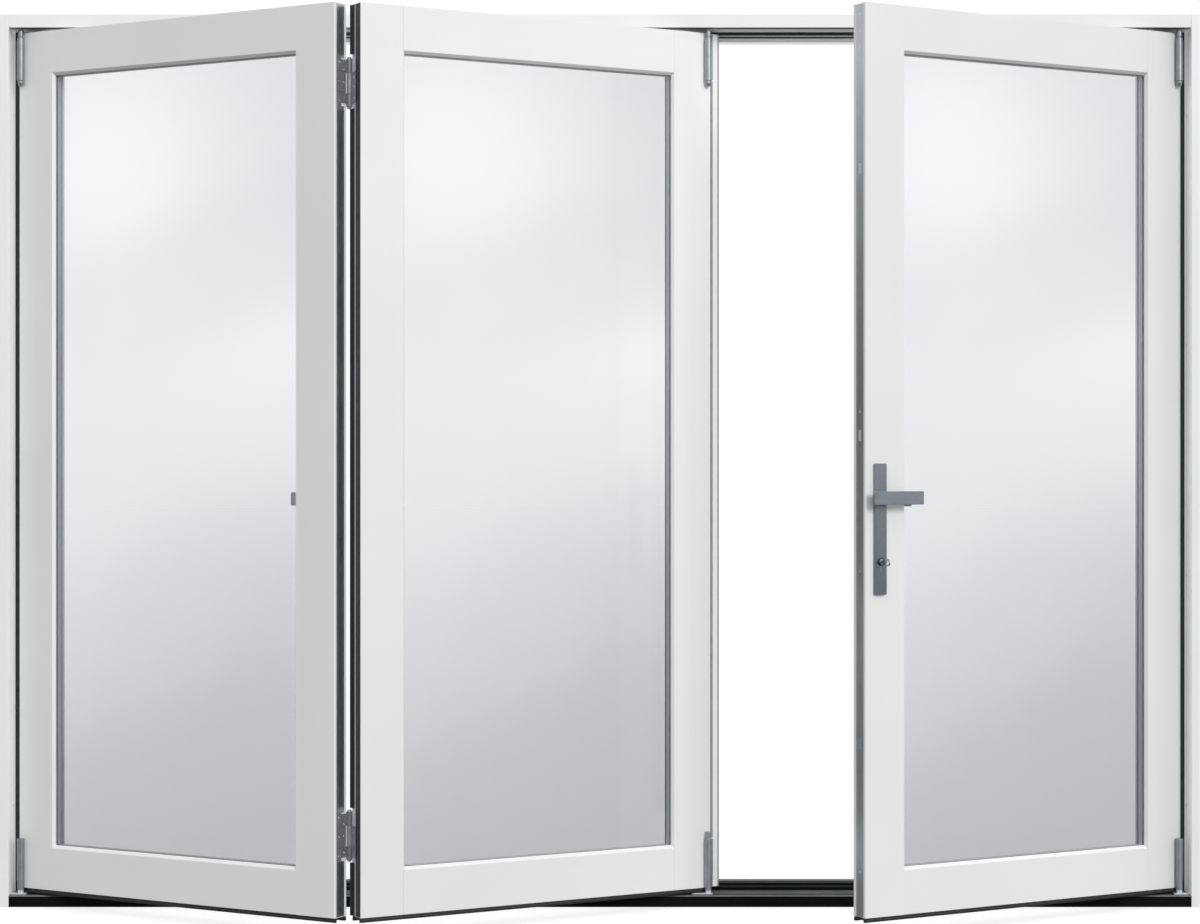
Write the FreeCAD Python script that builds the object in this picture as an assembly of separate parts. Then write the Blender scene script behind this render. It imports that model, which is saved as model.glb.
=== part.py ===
import FreeCAD, Part
import math
import os

V = FreeCAD.Vector

# ---------------------------------------------------------------- dimensions
# All in millimetres. X runs along the door, Y into the room, Z up.
# The origin is the middle of the threshold's underside.
FRAME_W = 2796.0          # overall width
FRAME_H = 2080.0          # overall height
FRAME_D = 115.0           # frame depth
JAMB_T = 20.0             # jamb face width
HEAD_UNDER = 2050.0       # underside of the head board
SILL_BED = 27.0           # top of the threshold bed
STOP_D = 79.0             # stop face, measured back from the frame's front face
HEAD_STOP_UNDER = 2026.5
SILL_STOP_TOP = 48.0
JAMB_STOP_W = 24.0

LEAF_W = 898.0
LEAF_Z0, LEAF_Z1 = 41.0, 2041.0
LEAF_T = 46.0
LEAF_D = 29.5             # outer face of a closed leaf, back from the front face
ARRIS = 3.0               # rounding of the outer vertical edges
STILE_W = 104.0           # flat face of a fold or lock stile, up to the bevel
HANG_W = 99.0             # flat face of a pivot or lead stile, up to the bevel
RAIL_W = 98.0             # flat face of a rail, up to the bevel
BEVEL = 7.0               # bevel round the glass, depth, and width on the rails
SIDE_BEVEL = 5.0          # its width on the stiles
LIP = 9.0                 # depth of the timber lip in front of the glass
BITE = 16.0               # rebate behind the lip
GLASS_D0 = 10.5           # outer face of the sealed unit
PANE_T = 4.0
CAVITY = 13.0

PIVOT_X = 1354.0          # pivot axes, left and right of the middle
PIVOT_D = 21.0            # pivot axes, back from the front face
PIVOT_IN = 12.0           # pivot axis in from the leaf's edge
PIVOT_OUT = LEAF_D - PIVOT_D  # pivot axis in front of the leaf's outer face
FOLD_GAP = 7.0            # gap between the two folding leaves when closed
FOLD_BACK = 5.0           # fold axis behind the leaves' inner faces
OPEN = 29.5               # opening angle of every leaf, degrees

TRACK_HALF = 13.0         # half width of the head track
TRACK_TOP = 2074.0
TRACK_T = 2.5
TRACK_SLOT = 5.5          # half width of the slot
CHAN_HALF = 9.0           # half width of the guide channel
CHAN_T = 2.0
CHAN_Z0 = 8.0

BARREL_R = 8.0
PIN_R = 4.0
RUN = 0.05                # radial running clearance
KNUCKLE_R = 6.4
FOLD_HINGES = ((164.0, 269.0), (1817.0, 1922.0))

STRIP_W = 25.5            # meeting strip, out from the middle leaf's edge
STRIP_D0, STRIP_D1 = 9.0, 34.0

LEVER_Z = 958.5           # lever axis
LEVER_U = 36.5            # lever axis in from the lock edge
PLATE_W, PLATE_T = 30.0, 8.0
PLATE_Z0, PLATE_Z1 = 746.8, 1033.8
CYL_Z = 819.0             # lock cylinder axis
FOLD_LEVER_U = 62.0       # fold lever axis in from the fold edge
FOLD_LEVER_Z = 955.0
BOLT_Z = (420.0, 1095.0, 1680.0)
BOLT_TRAVEL = 15.0
ROD_TRAVEL = 24.0         # shoot rods, 10 into the threshold and 14 into the head
FIX_Z = (230.0, 770.0, 1310.0, 1850.0)   # wall fixings in the jambs
FIX_D = 52.0
FIX_R = 4.0
HEAD_FIX_X = 700.0

YF = -FRAME_D / 2         # the frame's front face
XJ = FRAME_W / 2 - JAMB_T # the jambs' inner faces
PY = YF + PIVOT_D
TH = math.radians(OPEN)

os.makedirs("parts", exist_ok=True)


# ---------------------------------------------------------------- helpers
def box(x0, x1, y0, y1, z0, z1):
    return Part.makeBox(x1 - x0, y1 - y0, z1 - z0, V(x0, y0, z0))


def cylz(x, y, z0, z1, r):
    return Part.makeCylinder(r, z1 - z0, V(x, y, z0), V(0, 0, 1))


def cyly(x, y0, y1, z, r):
    return Part.makeCylinder(r, y1 - y0, V(x, y0, z), V(0, 1, 0))


def cylx(x0, x1, y, z, r):
    return Part.makeCylinder(r, x1 - x0, V(x0, y, z), V(1, 0, 0))


def conez(x, y, z0, z1, r0, r1):
    return Part.makeCone(r0, r1, z1 - z0, V(x, y, z0), V(0, 0, 1))


def barrel(x, y, z0, z1, r, c=0.8):
    """A turned barrel with chamfered ends."""
    return fuse([conez(x, y, z0, z0 + c, r - c, r), cylz(x, y, z0 + c, z1 - c, r), conez(x, y, z1 - c, z1, r, r - c)])


def prism_y(pts, y0, y1):
    """A polygon of (x, z) points, run from y0 to y1."""
    w = Part.makePolygon([V(x, y0, z) for x, z in pts] + [V(pts[0][0], y0, pts[0][1])])
    return Part.Face(w).extrude(V(0, y1 - y0, 0))


def prism_x(pts, x0, x1):
    """A polygon of (y, z) points, run from x0 to x1."""
    w = Part.makePolygon([V(x0, y, z) for y, z in pts] + [V(x0, pts[0][0], pts[0][1])])
    return Part.Face(w).extrude(V(x1 - x0, 0, 0))


def prism_z(pts, z0, z1):
    """A polygon of (x, y) points, run from z0 to z1."""
    w = Part.makePolygon([V(x, y, z0) for x, y in pts] + [V(pts[0][0], pts[0][1], z0)])
    return Part.Face(w).extrude(V(0, 0, z1 - z0))


def frustum_y(a, ya, b, yb):
    """Between two rectangles (x0, x1, z0, z1) at depths ya and yb."""
    def wire(r, y):
        x0, x1, z0, z1 = r
        p = [V(x0, y, z0), V(x1, y, z0), V(x1, y, z1), V(x0, y, z1)]
        return Part.makePolygon(p + [p[0]])
    return Part.makeLoft([wire(a, ya), wire(b, yb)], True, True)


def fuse(shapes):
    s = shapes[0]
    if len(shapes) > 1:
        s = s.multiFuse(shapes[1:])
    return s.removeSplitter()


def cut(s, tools):
    return s.cut(tools) if tools else s


def solids(s):
    return list(s.Solids)


def group(shapes):
    out = []
    for s in shapes:
        out += solids(s)
    return out[0] if len(out) == 1 else Part.makeCompound(out)


def rounded(b, r, axis):
    """A box with the four edges along one axis rounded."""
    es = []
    for e in b.Edges:
        d = e.Vertexes[1].Point - e.Vertexes[0].Point
        if abs(abs(d.dot(axis)) - d.Length) < 1e-6:
            es.append(e)
    return b.makeFillet(r, es)


nodes = {}


def keep(name, shape):
    nodes[name] = shape


# ---------------------------------------------------------------- placements
def place_left(s):
    """Closed leaf-1 coordinates (u, depth, z) to the open pose."""
    s = s.copy()
    s.translate(V(-PIVOT_X - PIVOT_IN, YF + LEAF_D, 0))
    s.rotate(V(-PIVOT_X, PY, 0), V(0, 0, 1), -OPEN)
    return s


FOLD_X0 = -PIVOT_X - PIVOT_IN + LEAF_W + FOLD_GAP / 2
FOLD_Y0 = YF + LEAF_D + LEAF_T + FOLD_BACK
MID_X0 = FOLD_X0 + FOLD_GAP / 2
CARRY_X0 = MID_X0 + LEAF_W - PIVOT_IN
_fx, _fy = FOLD_X0 + PIVOT_X, FOLD_Y0 - PY
FOLD_X = -PIVOT_X + _fx * math.cos(TH) + _fy * math.sin(TH)
FOLD_Y = PY - _fx * math.sin(TH) + _fy * math.cos(TH)
CARRY_X = 2 * FOLD_X + PIVOT_X


def place_mid(s):
    s = s.copy()
    s.translate(V(MID_X0, YF + LEAF_D, 0))
    s.rotate(V(CARRY_X0, PY, 0), V(0, 0, 1), OPEN)
    s.translate(V(CARRY_X - CARRY_X0, 0, 0))
    return s


def place_right(s):
    s = s.copy()
    s.translate(V(PIVOT_X + PIVOT_IN - LEAF_W, YF + LEAF_D, 0))
    s.rotate(V(PIVOT_X, PY, 0), V(0, 0, 1), OPEN)
    return s


# ---------------------------------------------------------------- fixed frame
ROD_X = -PIVOT_X - PIVOT_IN + LEAF_W - FOLD_LEVER_U
ROD_Y = YF + LEAF_D + LEAF_T / 2

head = box(-XJ, XJ, YF, -YF, HEAD_UNDER, FRAME_H)
head = head.cut([
    box(-XJ - 1, XJ + 1, PY - TRACK_HALF, PY + TRACK_HALF, HEAD_UNDER - 1, TRACK_TOP),
    cylz(ROD_X, ROD_Y, HEAD_UNDER - 1, HEAD_UNDER + 18, 5.0),
    cylz(-HEAD_FIX_X, YF + FIX_D, HEAD_UNDER - 1, FRAME_H + 1, FIX_R),
    cylz(HEAD_FIX_X, YF + FIX_D, HEAD_UNDER - 1, FRAME_H + 1, FIX_R),
])
keep("head_frame", head)


def jamb(side):
    x0, x1 = (-FRAME_W / 2, -XJ) if side < 0 else (XJ, FRAME_W / 2)
    j = box(x0, x1, YF, -YF, 0, FRAME_H)
    j = rounded(j, 1.5, V(0, 0, 1))
    return j.cut([cylx(x0 - 1, x1 + 1, YF + FIX_D, z, FIX_R) for z in FIX_Z])


keep("left_jamb", jamb(-1))
keep("right_jamb", jamb(1))

YS = YF + STOP_D
keep("frame_stops", group([
    box(-XJ, XJ, YS, -YF, HEAD_STOP_UNDER, HEAD_UNDER),
    box(-XJ, -XJ + JAMB_STOP_W, YS, -YF, SILL_STOP_TOP, HEAD_STOP_UNDER),
    box(XJ - JAMB_STOP_W, XJ, YS, -YF, SILL_STOP_TOP, HEAD_STOP_UNDER),
]))

# The threshold is an extruded section: a chamfered nose with two drip grooves
# in front and shallow tread grooves along its top.
RIB_W, RIB_D = 2.4, 1.0


def sill_section():
    pts = [(YF, 0.0), (-YF, 0.0), (-YF, SILL_BED)]
    for y in (12.0, 6.0, 0.0, -6.0, -12.0, -18.0, -24.0, YF + 6.0):
        a, b = y + RIB_W / 2, y - RIB_W / 2
        pts += [(a, SILL_BED), (a, SILL_BED - RIB_D), (b, SILL_BED - RIB_D), (b, SILL_BED)]
    pts += [(YF + 2.5, SILL_BED), (YF, SILL_BED - 2.5)]
    for z in (17.0, 8.0):
        pts += [(YF, z + 1.0), (YF + 1.4, z + 1.0), (YF + 1.4, z - 1.0), (YF, z - 1.0)]
    return pts


sill = prism_x(sill_section(), -XJ, XJ)
sill = sill.cut([
    box(-XJ - 1, XJ + 1, PY - CHAN_HALF, PY + CHAN_HALF, CHAN_Z0, SILL_BED + 1),
    cylz(ROD_X, ROD_Y, SILL_BED - 16, SILL_BED + 1, 5.0),
])
keep("threshold", sill)
# Its stop has a weathered front edge.
keep("threshold_stop", prism_x([(YS, SILL_BED), (-YF, SILL_BED), (-YF, SILL_STOP_TOP),
                                (YS + 5.0, SILL_STOP_TOP), (YS, SILL_STOP_TOP - 4.0)], -XJ, XJ))

track = box(-XJ, XJ, PY - TRACK_HALF, PY + TRACK_HALF, HEAD_UNDER, TRACK_TOP)
th = TRACK_HALF - TRACK_T
track = track.cut([
    box(-XJ - 1, XJ + 1, PY - th, PY + th, HEAD_UNDER + TRACK_T, TRACK_TOP - TRACK_T),
    box(-XJ - 1, XJ + 1, PY - TRACK_SLOT, PY + TRACK_SLOT, HEAD_UNDER - 1, HEAD_UNDER + TRACK_T + 1),
])
keep("head_track", track)

chan = box(-XJ, XJ, PY - CHAN_HALF, PY + CHAN_HALF, CHAN_Z0, SILL_BED)
ch = CHAN_HALF - CHAN_T
chan = chan.cut(box(-XJ - 1, XJ + 1, PY - ch, PY + ch, CHAN_Z0 + CHAN_T, SILL_BED + 1))
keep("sill_channel", chan)

# Two seals run on the stops' front faces: a square one in the corner of the
# rebate, down both jambs and along the head, and a slim lip all round where
# the leaves bear.
SEAL_T = 1.6


def ring_xz(xa, za0, za1, xb, zb0, zb1, y0, y1):
    return box(-xa, xa, y0, y1, za0, za1).cut(box(-xb, xb, y0 - 1, y1 + 1, zb0, zb1))


corner_seal = ring_xz(XJ, SILL_BED, HEAD_UNDER, XJ - 8.5, SILL_BED - 1.0, HEAD_UNDER - 7.0, YS - 3.0, YS)
lip_seal = ring_xz(XJ - 14.0, 34.5, 2039.5, XJ - 17.5, 38.0, 2036.0, YS - SEAL_T, YS)
keep("frame_seals", group([corner_seal, lip_seal]))


def top_pin(x, y, z_top):
    """The hanging pin of a top pivot, with its cone nut under the barrel."""
    return [
        cylz(x, y, 1925.0, z_top, PIN_R),
        cylz(x, y, 1922.0, 1927.2, 7.2),
        conez(x, y, 1914.8, 1922.0, 4.6, 7.2),
    ]


def top_pivot(x):
    blk = box(x - 20, x + 20, PY - th + 0.3, PY + th - 0.3, HEAD_UNDER + TRACK_T, TRACK_TOP - TRACK_T)
    return fuse([blk] + top_pin(x, PY, HEAD_UNDER + TRACK_T + 2))


keep("top_pivot_pins", group([top_pivot(-PIVOT_X), top_pivot(PIVOT_X)]))


def shoe(x0, x1, x, z0):
    plate = rounded(box(x0, x1, PY - 10.5, PY + 10.5, z0, 30.4), 3.0, V(0, 0, 1))
    return [plate, cylz(x, PY, 30.0, 37.6, 7.0), cylz(x, PY, 29.0, 140.0, PIN_R)]


keep("bottom_pivot_shoes", group([
    fuse(shoe(-XJ + 2, -PIVOT_X + 14, -PIVOT_X, SILL_BED)),
    fuse(shoe(PIVOT_X - 14, XJ - 2, PIVOT_X, SILL_BED)),
]))


# ---------------------------------------------------------------- leaves
W, T = LEAF_W, LEAF_T
ZB, ZT = LEAF_Z0 + RAIL_W, LEAF_Z1 - RAIL_W
SZB, SZT = ZB + BEVEL, ZT - BEVEL                        # sight lines of the rails
PZB, PZT = SZB - BITE, SZT + BITE                        # rebate
D_IN = GLASS_D0 + 2 * PANE_T + CAVITY                    # inner face of the sealed unit


class Leaf:
    """A glazed leaf with a stile of flat width a at u = 0 and b at u = W."""

    def __init__(self, a, b):
        self.a, self.b = a, W - b                             # inner ends of the flats
        self.s0, self.s1 = a + SIDE_BEVEL, W - b - SIDE_BEVEL   # sight lines
        self.p0, self.p1 = self.s0 - BITE, self.s1 + BITE     # rebate

    def ring(self):
        blank = rounded(box(0, W, 0, T, LEAF_Z0, LEAF_Z1), ARRIS, V(0, 0, 1))
        k, kz = SIDE_BEVEL / BEVEL, 1.0
        bevel = frustum_y(
            (self.a - k, self.b + k, ZB - kz, ZT + kz), -1.0,
            (self.s0, self.s1, SZB, SZT), BEVEL)
        return blank.cut([
            bevel,
            box(self.s0, self.s1, BEVEL - 0.5, LIP + 0.5, SZB, SZT),
            box(self.p0, self.p1, LIP, T + 1, PZB, PZT),
        ])

    def members(self):
        ring = self.ring()
        lo, hi = LEAF_Z0 - 1, LEAF_Z1 + 1
        a, b, s0, s1 = self.a, self.b, self.s0, self.s1
        left = prism_y([(-1, lo), (a, lo), (a, ZB), (s0, SZB), (s0, SZT), (a, ZT), (a, hi), (-1, hi)], -1, T + 1)
        right = prism_y([(W + 1, lo), (b, lo), (b, ZB), (s1, SZB), (s1, SZT), (b, ZT), (b, hi), (W + 1, hi)], -1, T + 1)
        bottom = prism_y([(a, lo), (b, lo), (b, ZB), (s1, SZB), (s0, SZB), (a, ZB)], -1, T + 1)
        top = prism_y([(a, hi), (b, hi), (b, ZT), (s1, SZT), (s0, SZT), (a, ZT)], -1, T + 1)
        return [ring.common(x) for x in (left, right, bottom, top)]

    def panes(self):
        d1 = GLASS_D0 + PANE_T + CAVITY
        u, z = (self.p0 + 2, self.p1 - 2), (PZB + 2, PZT - 2)
        return group([
            box(u[0], u[1], GLASS_D0, GLASS_D0 + PANE_T, z[0], z[1]),
            box(u[0], u[1], d1, d1 + PANE_T, z[0], z[1]),
        ])

    def spacer(self):
        d0, d1 = GLASS_D0 + PANE_T, GLASS_D0 + PANE_T + CAVITY
        return box(self.p0 + 4, self.p1 - 4, d0, d1, PZB + 4, PZT - 4).cut(
            box(self.s0 + 0.5, self.s1 - 0.5, d0 - 1, d1 + 1, SZB + 0.5, SZT - 0.5))

    def beads(self):
        """Four splayed glazing beads, mitred at the corners."""
        dm = D_IN + 0.8
        ring = box(self.p0, self.p1, D_IN, T, PZB, PZT)
        n = 6.0
        k = n / (T - dm)
        s0, s1 = self.s0, self.s1
        ring = ring.cut([
            box(s0, s1, D_IN - 1, dm + 0.01, SZB, SZT),
            frustum_y((s0, s1, SZB, SZT), dm,
                      (s0 - n - k, s1 + n + k, SZB - n - k, SZT + n + k), T + 1),
        ])
        q = 20.0
        p0, p1 = self.p0, self.p1
        out = []
        for pts in (
            [(p0, PZB), (p0 + q, PZB + q), (p0 + q, PZT - q), (p0, PZT)],
            [(p1, PZB), (p1 - q, PZB + q), (p1 - q, PZT - q), (p1, PZT)],
            [(p0, PZB), (p1, PZB), (p1 - q, PZB + q), (p0 + q, PZB + q)],
            [(p0, PZT), (p1, PZT), (p1 - q, PZT - q), (p0 + q, PZT - q)],
        ):
            out.append(ring.common(prism_y(pts, D_IN - 1, T + 1)))
        return group(out)


def bottom_seal(tools=()):
    """Two lips and a web, with a ledge along each lip's outer side."""
    z = LEAF_Z0
    pts = [(1.8, z), (44.2, z), (44.2, z - 4.4), (45.4, z - 5.4), (45.4, z - 8.8), (43.6, z - 10.2), (38.0, z - 10.2),
           (38.0, z - 5.0), (9.0, z - 5.0), (9.0, z - 10.2), (2.4, z - 10.2), (0.6, z - 8.8), (0.6, z - 5.4), (1.8, z - 4.4)]
    return cut(prism_x(pts, 1.0, W - 1.0), list(tools))


# A pivot hinge: barrel in front of the outer face, and a plate that turns
# round the leaf's edge. u is the leaf's own width coordinate.
def pivot_hinge(edge_u, sgn, top, cap=False):
    """sgn is +1 where the edge faces +u. A capped lower barrel carries an
    adjusting nut on top."""
    ax, ay = edge_u - sgn * PIVOT_IN, -PIVOT_OUT

    def ubox(a, b, d0, d1, z0, z1):
        lo, hi = sorted((edge_u + sgn * a, edge_u + sgn * b))
        return box(lo, hi, d0, d1, z0, z1)
    if top:
        b0, p0, p1 = 1927.5, 1931.0, 2024.0
        parts = [barrel(ax, ay, b0, 2028.0, BARREL_R), cylz(ax, ay, 2027.0, 2032.0, 5.5), barrel(ax, ay, 2031.0, 2046.0, 6.6)]
    else:
        b0, p0, p1 = 38.0, 58.0, 155.0
        parts = [barrel(ax, ay, b0, 157.0, BARREL_R)]
        if cap:
            parts.append(barrel(ax, ay, 156.0, 173.0, 5.8))
    parts += [
        ubox(-PIVOT_IN, 2.5, -6.5, 0.0, p0, p1),
        ubox(0.0, 2.5, -6.5, STRIP_D0 - 0.5, p0, p1),
    ]
    h = fuse(parts)
    if top:
        return h.cut(cylz(ax, ay, b0 - 1, 2047.0, PIN_R + RUN))
    return h.cut(cylz(ax, ay, b0 - 1, 142.0, PIN_R + RUN))


def hinge_pair(edge_u, sgn, cap=False):
    return group([pivot_hinge(edge_u, sgn, True), pivot_hinge(edge_u, sgn, False, cap)])


# Fold hinge: three knuckles. The outer two belong to the left leaf and the
# middle one to the middle leaf. Written in the left leaf's coordinates.
FU, FD = W + FOLD_GAP / 2, T + FOLD_BACK


def fold_notch(z0, z1):
    return cylz(FU, FD, z0 - 1.0, z1 + 1.0, KNUCKLE_R + 0.6)


def knuckle_splits(z0, z1):
    n = z1 - z0
    return z0 + 0.28 * n, z0 + 0.71 * n


def flap_left(z0, z1):
    """Its plate shows three blocks: grooves part them, one groove runs down
    each end block, and the middle block stops short of the knuckle."""
    a, b = knuckle_splits(z0, z1)
    top = W + 2.2
    f = fuse([box(W, top, 6.0, FD, z0, z1),
              cylz(FU, FD, z0, a - 0.3, KNUCKLE_R), cylz(FU, FD, b + 0.3, z1, KNUCKLE_R)])
    k = FD - KNUCKLE_R - 0.6
    return f.cut([
        cylz(FU, FD, a - 0.3, b + 0.3, KNUCKLE_R + 0.5), cylz(FU, FD, z0 - 1, z1 + 1, PIN_R + RUN),
        box(W - 1, top + 1, 39.5, FD + 1, a - 0.3, b + 0.3),
        box(W - 1, top + 1, 24.4, k, z0 - 1, z0 + 7.0),
        box(W - 1, top + 1, 24.4, k, z1 - 3.0, z1 + 1),
        box(W + 0.9, top + 1, 5.0, k, a - 0.8, a + 0.8),
        box(W + 0.9, top + 1, 5.0, k, b - 0.8, b + 0.8),
        box(W + 0.9, top + 1, 22.0, 24.4, z0 - 1, a),
        box(W + 0.9, top + 1, 22.0, 24.4, b, z1 + 1),
    ])


def flap_mid(z0, z1):
    a, b = knuckle_splits(z0, z1)
    e = W + FOLD_GAP
    plate = box(e - 2.2, e, 22.6, FD, z0 + 6.0, b)
    f = fuse([plate, cylz(FU, FD, a, b, KNUCKLE_R)])
    f = f.cut([cylz(FU, FD, z0 - 1, a, KNUCKLE_R + 0.5), cylz(FU, FD, b, z1 + 1, KNUCKLE_R + 0.5)])
    return f.cut(cylz(FU, FD, z0 - 1, z1 + 1, PIN_R))


def fold_pin(z0, z1):
    return fuse([
        cylz(FU, FD, z0 - 0.5, z1 + 0.5, PIN_R),
        conez(FU, FD, z1 + 0.5, z1 + 4.5, 5.6, 4.2),
        conez(FU, FD, z0 - 4.5, z0 - 0.5, 4.2, 5.6),
    ])


hung_left, hung_right = Leaf(HANG_W, STILE_W), Leaf(STILE_W, HANG_W)

# Openings left in the fold edge fittings for the fold hinges.
EDGE_RUNS = (
    (LEAF_Z0 + 2, FOLD_HINGES[0][0] - 0.6),
    (FOLD_HINGES[0][1] + 0.6, FOLD_HINGES[1][0] - 0.6),
    (FOLD_HINGES[1][1] + 0.6, LEAF_Z1 - 2),
)


# ---- left leaf
def screw(p, axis, r=3.4, depth=12.0):
    """A countersunk screw with its head at p and its shank along axis."""
    p, a = V(*p), V(*axis)
    head_c = Part.makeCone(r, 1.9, 1.9, p, a)
    shank = Part.makeCylinder(1.9, depth - 1.9, p + a * 1.9, a)
    slot = Part.makeBox(0.9, 0.9, 2 * r + 1)
    slot.translate(V(-0.45, -0.45, -r - 0.5))
    slot.translate(p)
    return fuse([head_c, shank]), slot


EDGE_T = 2.0
L_SCREW_Z = (70.0, 140.0, 520.0, 798.0, 1147.0, 1500.0, 1945.0, 1980.0, 2017.0)
lu = W - FOLD_LEVER_U
rod_bores = [
    cylz(lu, T / 2, LEAF_Z0 - 12, FOLD_LEVER_Z - 14, 4.4),
    cylz(lu, T / 2, FOLD_LEVER_Z + 14, LEAF_Z1 + 1, 4.4),
    cyly(lu, 8.0, T + 1, FOLD_LEVER_Z, 13.0),
]
notches = [fold_notch(*h) for h in FOLD_HINGES]
members = hung_left.members()
l_screws = [screw((W + EDGE_T, 19.0, z), (-1, 0, 0)) for z in L_SCREW_Z]
l_solids = [s.cut(t) for s, t in l_screws]
l_fold = members[1].cut(rod_bores + notches + [s for s, t in l_screws])
keep("left_pivot_stile", place_left(members[0]))
keep("left_fold_stile", place_left(l_fold))
keep("left_rails", place_left(group([members[2], members[3]])))
keep("left_glass_panes", place_left(hung_left.panes()))
keep("left_spacer_bar", place_left(hung_left.spacer()))
keep("left_glazing_beads", place_left(hung_left.beads()))
keep("left_bottom_seal", place_left(bottom_seal([cylz(lu, T / 2, LEAF_Z0 - 12, LEAF_Z0 + 1, 5.0)])))
keep("left_edge_strip", place_left(group([
    box(W, W + EDGE_T, 5.0, 33.0, a, b).cut([s for s, t in l_screws]) for a, b in EDGE_RUNS])))
keep("left_edge_screws", place_left(group(l_solids)))
keep("left_pivot_hinges", place_left(hinge_pair(0.0, -1)))
keep("fold_hinge_outer_flaps", place_left(group([flap_left(*h) for h in FOLD_HINGES])))

# Inside handle of the folding pair: plate, lever and two shoot rods.
FP_T = 6.0
fold_plate = rounded(box(lu - 15, lu + 15, T, T + FP_T, FOLD_LEVER_Z - 75, FOLD_LEVER_Z + 55), 6.0, V(0, 1, 0))
keep("fold_handle_plate", place_left(fold_plate.cut(cyly(lu, T - 1, T + FP_T + 1, FOLD_LEVER_Z, 8.3))))
fl_slab = rounded(box(lu - 102, lu + 11, T + 17.5, T + 26.0, FOLD_LEVER_Z - 15, FOLD_LEVER_Z + 15), 3.5, V(0, 1, 0))
fold_lever = fuse([
    fl_slab,
    cyly(lu, T - 4, T + 18.5, FOLD_LEVER_Z, 8.0),
    box(lu - 4, lu + 4, 12.0, T - 3, FOLD_LEVER_Z - 4, FOLD_LEVER_Z + 4),
])
keep("fold_lever", place_left(fold_lever))
keep("fold_rod_top", place_left(fuse([
    cylz(lu, T / 2, FOLD_LEVER_Z + 15, LEAF_Z1 - 5, PIN_R), conez(lu, T / 2, LEAF_Z1 - 5, LEAF_Z1 - 1, PIN_R, 2.6)])))
keep("fold_rod_bottom", place_left(fuse([
    cylz(lu, T / 2, LEAF_Z0 + 5, FOLD_LEVER_Z - 15, PIN_R), conez(lu, T / 2, LEAF_Z0 + 1, LEAF_Z0 + 5, 2.6, PIN_R)])))

# ---- middle leaf
mid_shift = V(-(W + FOLD_GAP), 0, 0)


def to_mid(s):
    s = s.copy()
    s.translate(mid_shift)
    return s


members = hung_right.members()
panes, spacer, beads = hung_right.panes(), hung_right.spacer(), hung_right.beads()
keep("middle_fold_stile", place_mid(members[0].cut([to_mid(n) for n in notches])))
keep("middle_lead_stile", place_mid(members[1]))
keep("middle_rails", place_mid(group([members[2], members[3]])))
keep("middle_glass_panes", place_mid(panes))
keep("middle_spacer_bar", place_mid(spacer))
keep("middle_glazing_beads", place_mid(beads))
keep("middle_bottom_seal", place_mid(bottom_seal()))
# A flat strip in front, past the fold hinges, then a raised bead that stops at
# the hinge plates, and a bulb seal that stops at the whole hinge.
fold_seal = [prism_z([(0, 1.2), (0, 20.5), (-2.0, 20.5), (-2.0, 2.4), (-1.0, 1.2)], LEAF_Z0 + 2, LEAF_Z1 - 2)]
bead = [(0, 20.9), (0, 25.9), (-2.2, 25.9), (-3.0, 25.0), (-3.0, 22.0), (-2.3, 20.9)]
bulb = [(0, 26.5), (0, 44.5), (-4.6, 44.5), (-6.2, 42.6), (-6.2, 37.2), (-4.6, 35.0), (-3.4, 34.0), (-3.4, 28.2), (-2.4, 26.5)]
(f0, f1), (f2, f3) = FOLD_HINGES
m0, m1 = knuckle_splits(f0, f1)[1], knuckle_splits(f2, f3)[1]
for a, b in ((LEAF_Z0 + 2, f0 + 5.2), (m0 + 0.8, f2 + 5.2), (m1 + 0.8, LEAF_Z1 - 2)):
    fold_seal.append(prism_z(bead, a, b))
for a, b in ((LEAF_Z0 + 2, f0 - 5.5), (f1 + 9.5, f2 - 5.5), (f3 + 9.5, LEAF_Z1 - 2)):
    fold_seal.append(prism_z(bulb, a, b))
keep("middle_fold_seal", place_mid(group(fold_seal)))
keep("middle_carrier_hinges", place_mid(hinge_pair(W, 1, True)))
keep("fold_hinge_inner_flaps", place_mid(group(
    [to_mid(flap_mid(*h)) for h in FOLD_HINGES] + [to_mid(fold_pin(*h)) for h in FOLD_HINGES])))

# Meeting strip on the lead edge, pocketed for the lock bolts.
BOLT_D0, BOLT_D1 = 15.5, 27.5
BOLT_H = 24.0
su0, su1 = W, W + STRIP_W
strip = rounded(box(su0, su1, STRIP_D0, STRIP_D1, LEAF_Z0, LEAF_Z1), 2.0, V(0, 0, 1))
strip_cuts, strikes = [], []
for z in BOLT_Z:
    plate = box(su1 - 1.5, su1, 14.3, 31.5, z - 34, z + 34)
    pocket = box(su1 - 13.5, su1 + 1, BOLT_D0 - 0.7, BOLT_D1 + 0.7, z - BOLT_H / 2 - 0.7, z + BOLT_H / 2 + 0.7)
    sc = [screw((su1, 22.0, z + dz), (-1, 0, 0), 2.8, 10.0) for dz in (-25, 25)]
    strip_cuts += [plate, pocket] + [s for s, t in sc]
    strikes += [plate.cut([pocket] + [s for s, t in sc])] + [s.cut(t) for s, t in sc]
keep("meeting_strip", place_mid(strip.cut(strip_cuts)))
keep("strike_plates", place_mid(group(strikes)))
# A seal on the strip's free edge, and a gasket where it meets the leaf, left
# out at the hinge plates.
meet = [box(su1, su1 + 3.0, STRIP_D0 + 0.4, STRIP_D0 + 4.0, LEAF_Z0, LEAF_Z1)]
for a, b in ((LEAF_Z0 + 1, 57.4), (155.6, 1930.4), (2024.6, LEAF_Z1 - 1)):
    meet.append(box(su0, su0 + 10.5, STRIP_D0 - 1.2, STRIP_D0, a, b))
keep("meeting_seal", place_mid(group(meet)))

# ---- right leaf
# Coordinates start at the lock edge. The faceplate lies flush in the edge.
FACE_T = 2.5
FACE_D0, FACE_D1 = 7.0, 34.0
R_SCREW_Z = (140.0, 798.0, 1147.0, 1945.0, 1980.0, 2017.0)


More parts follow.
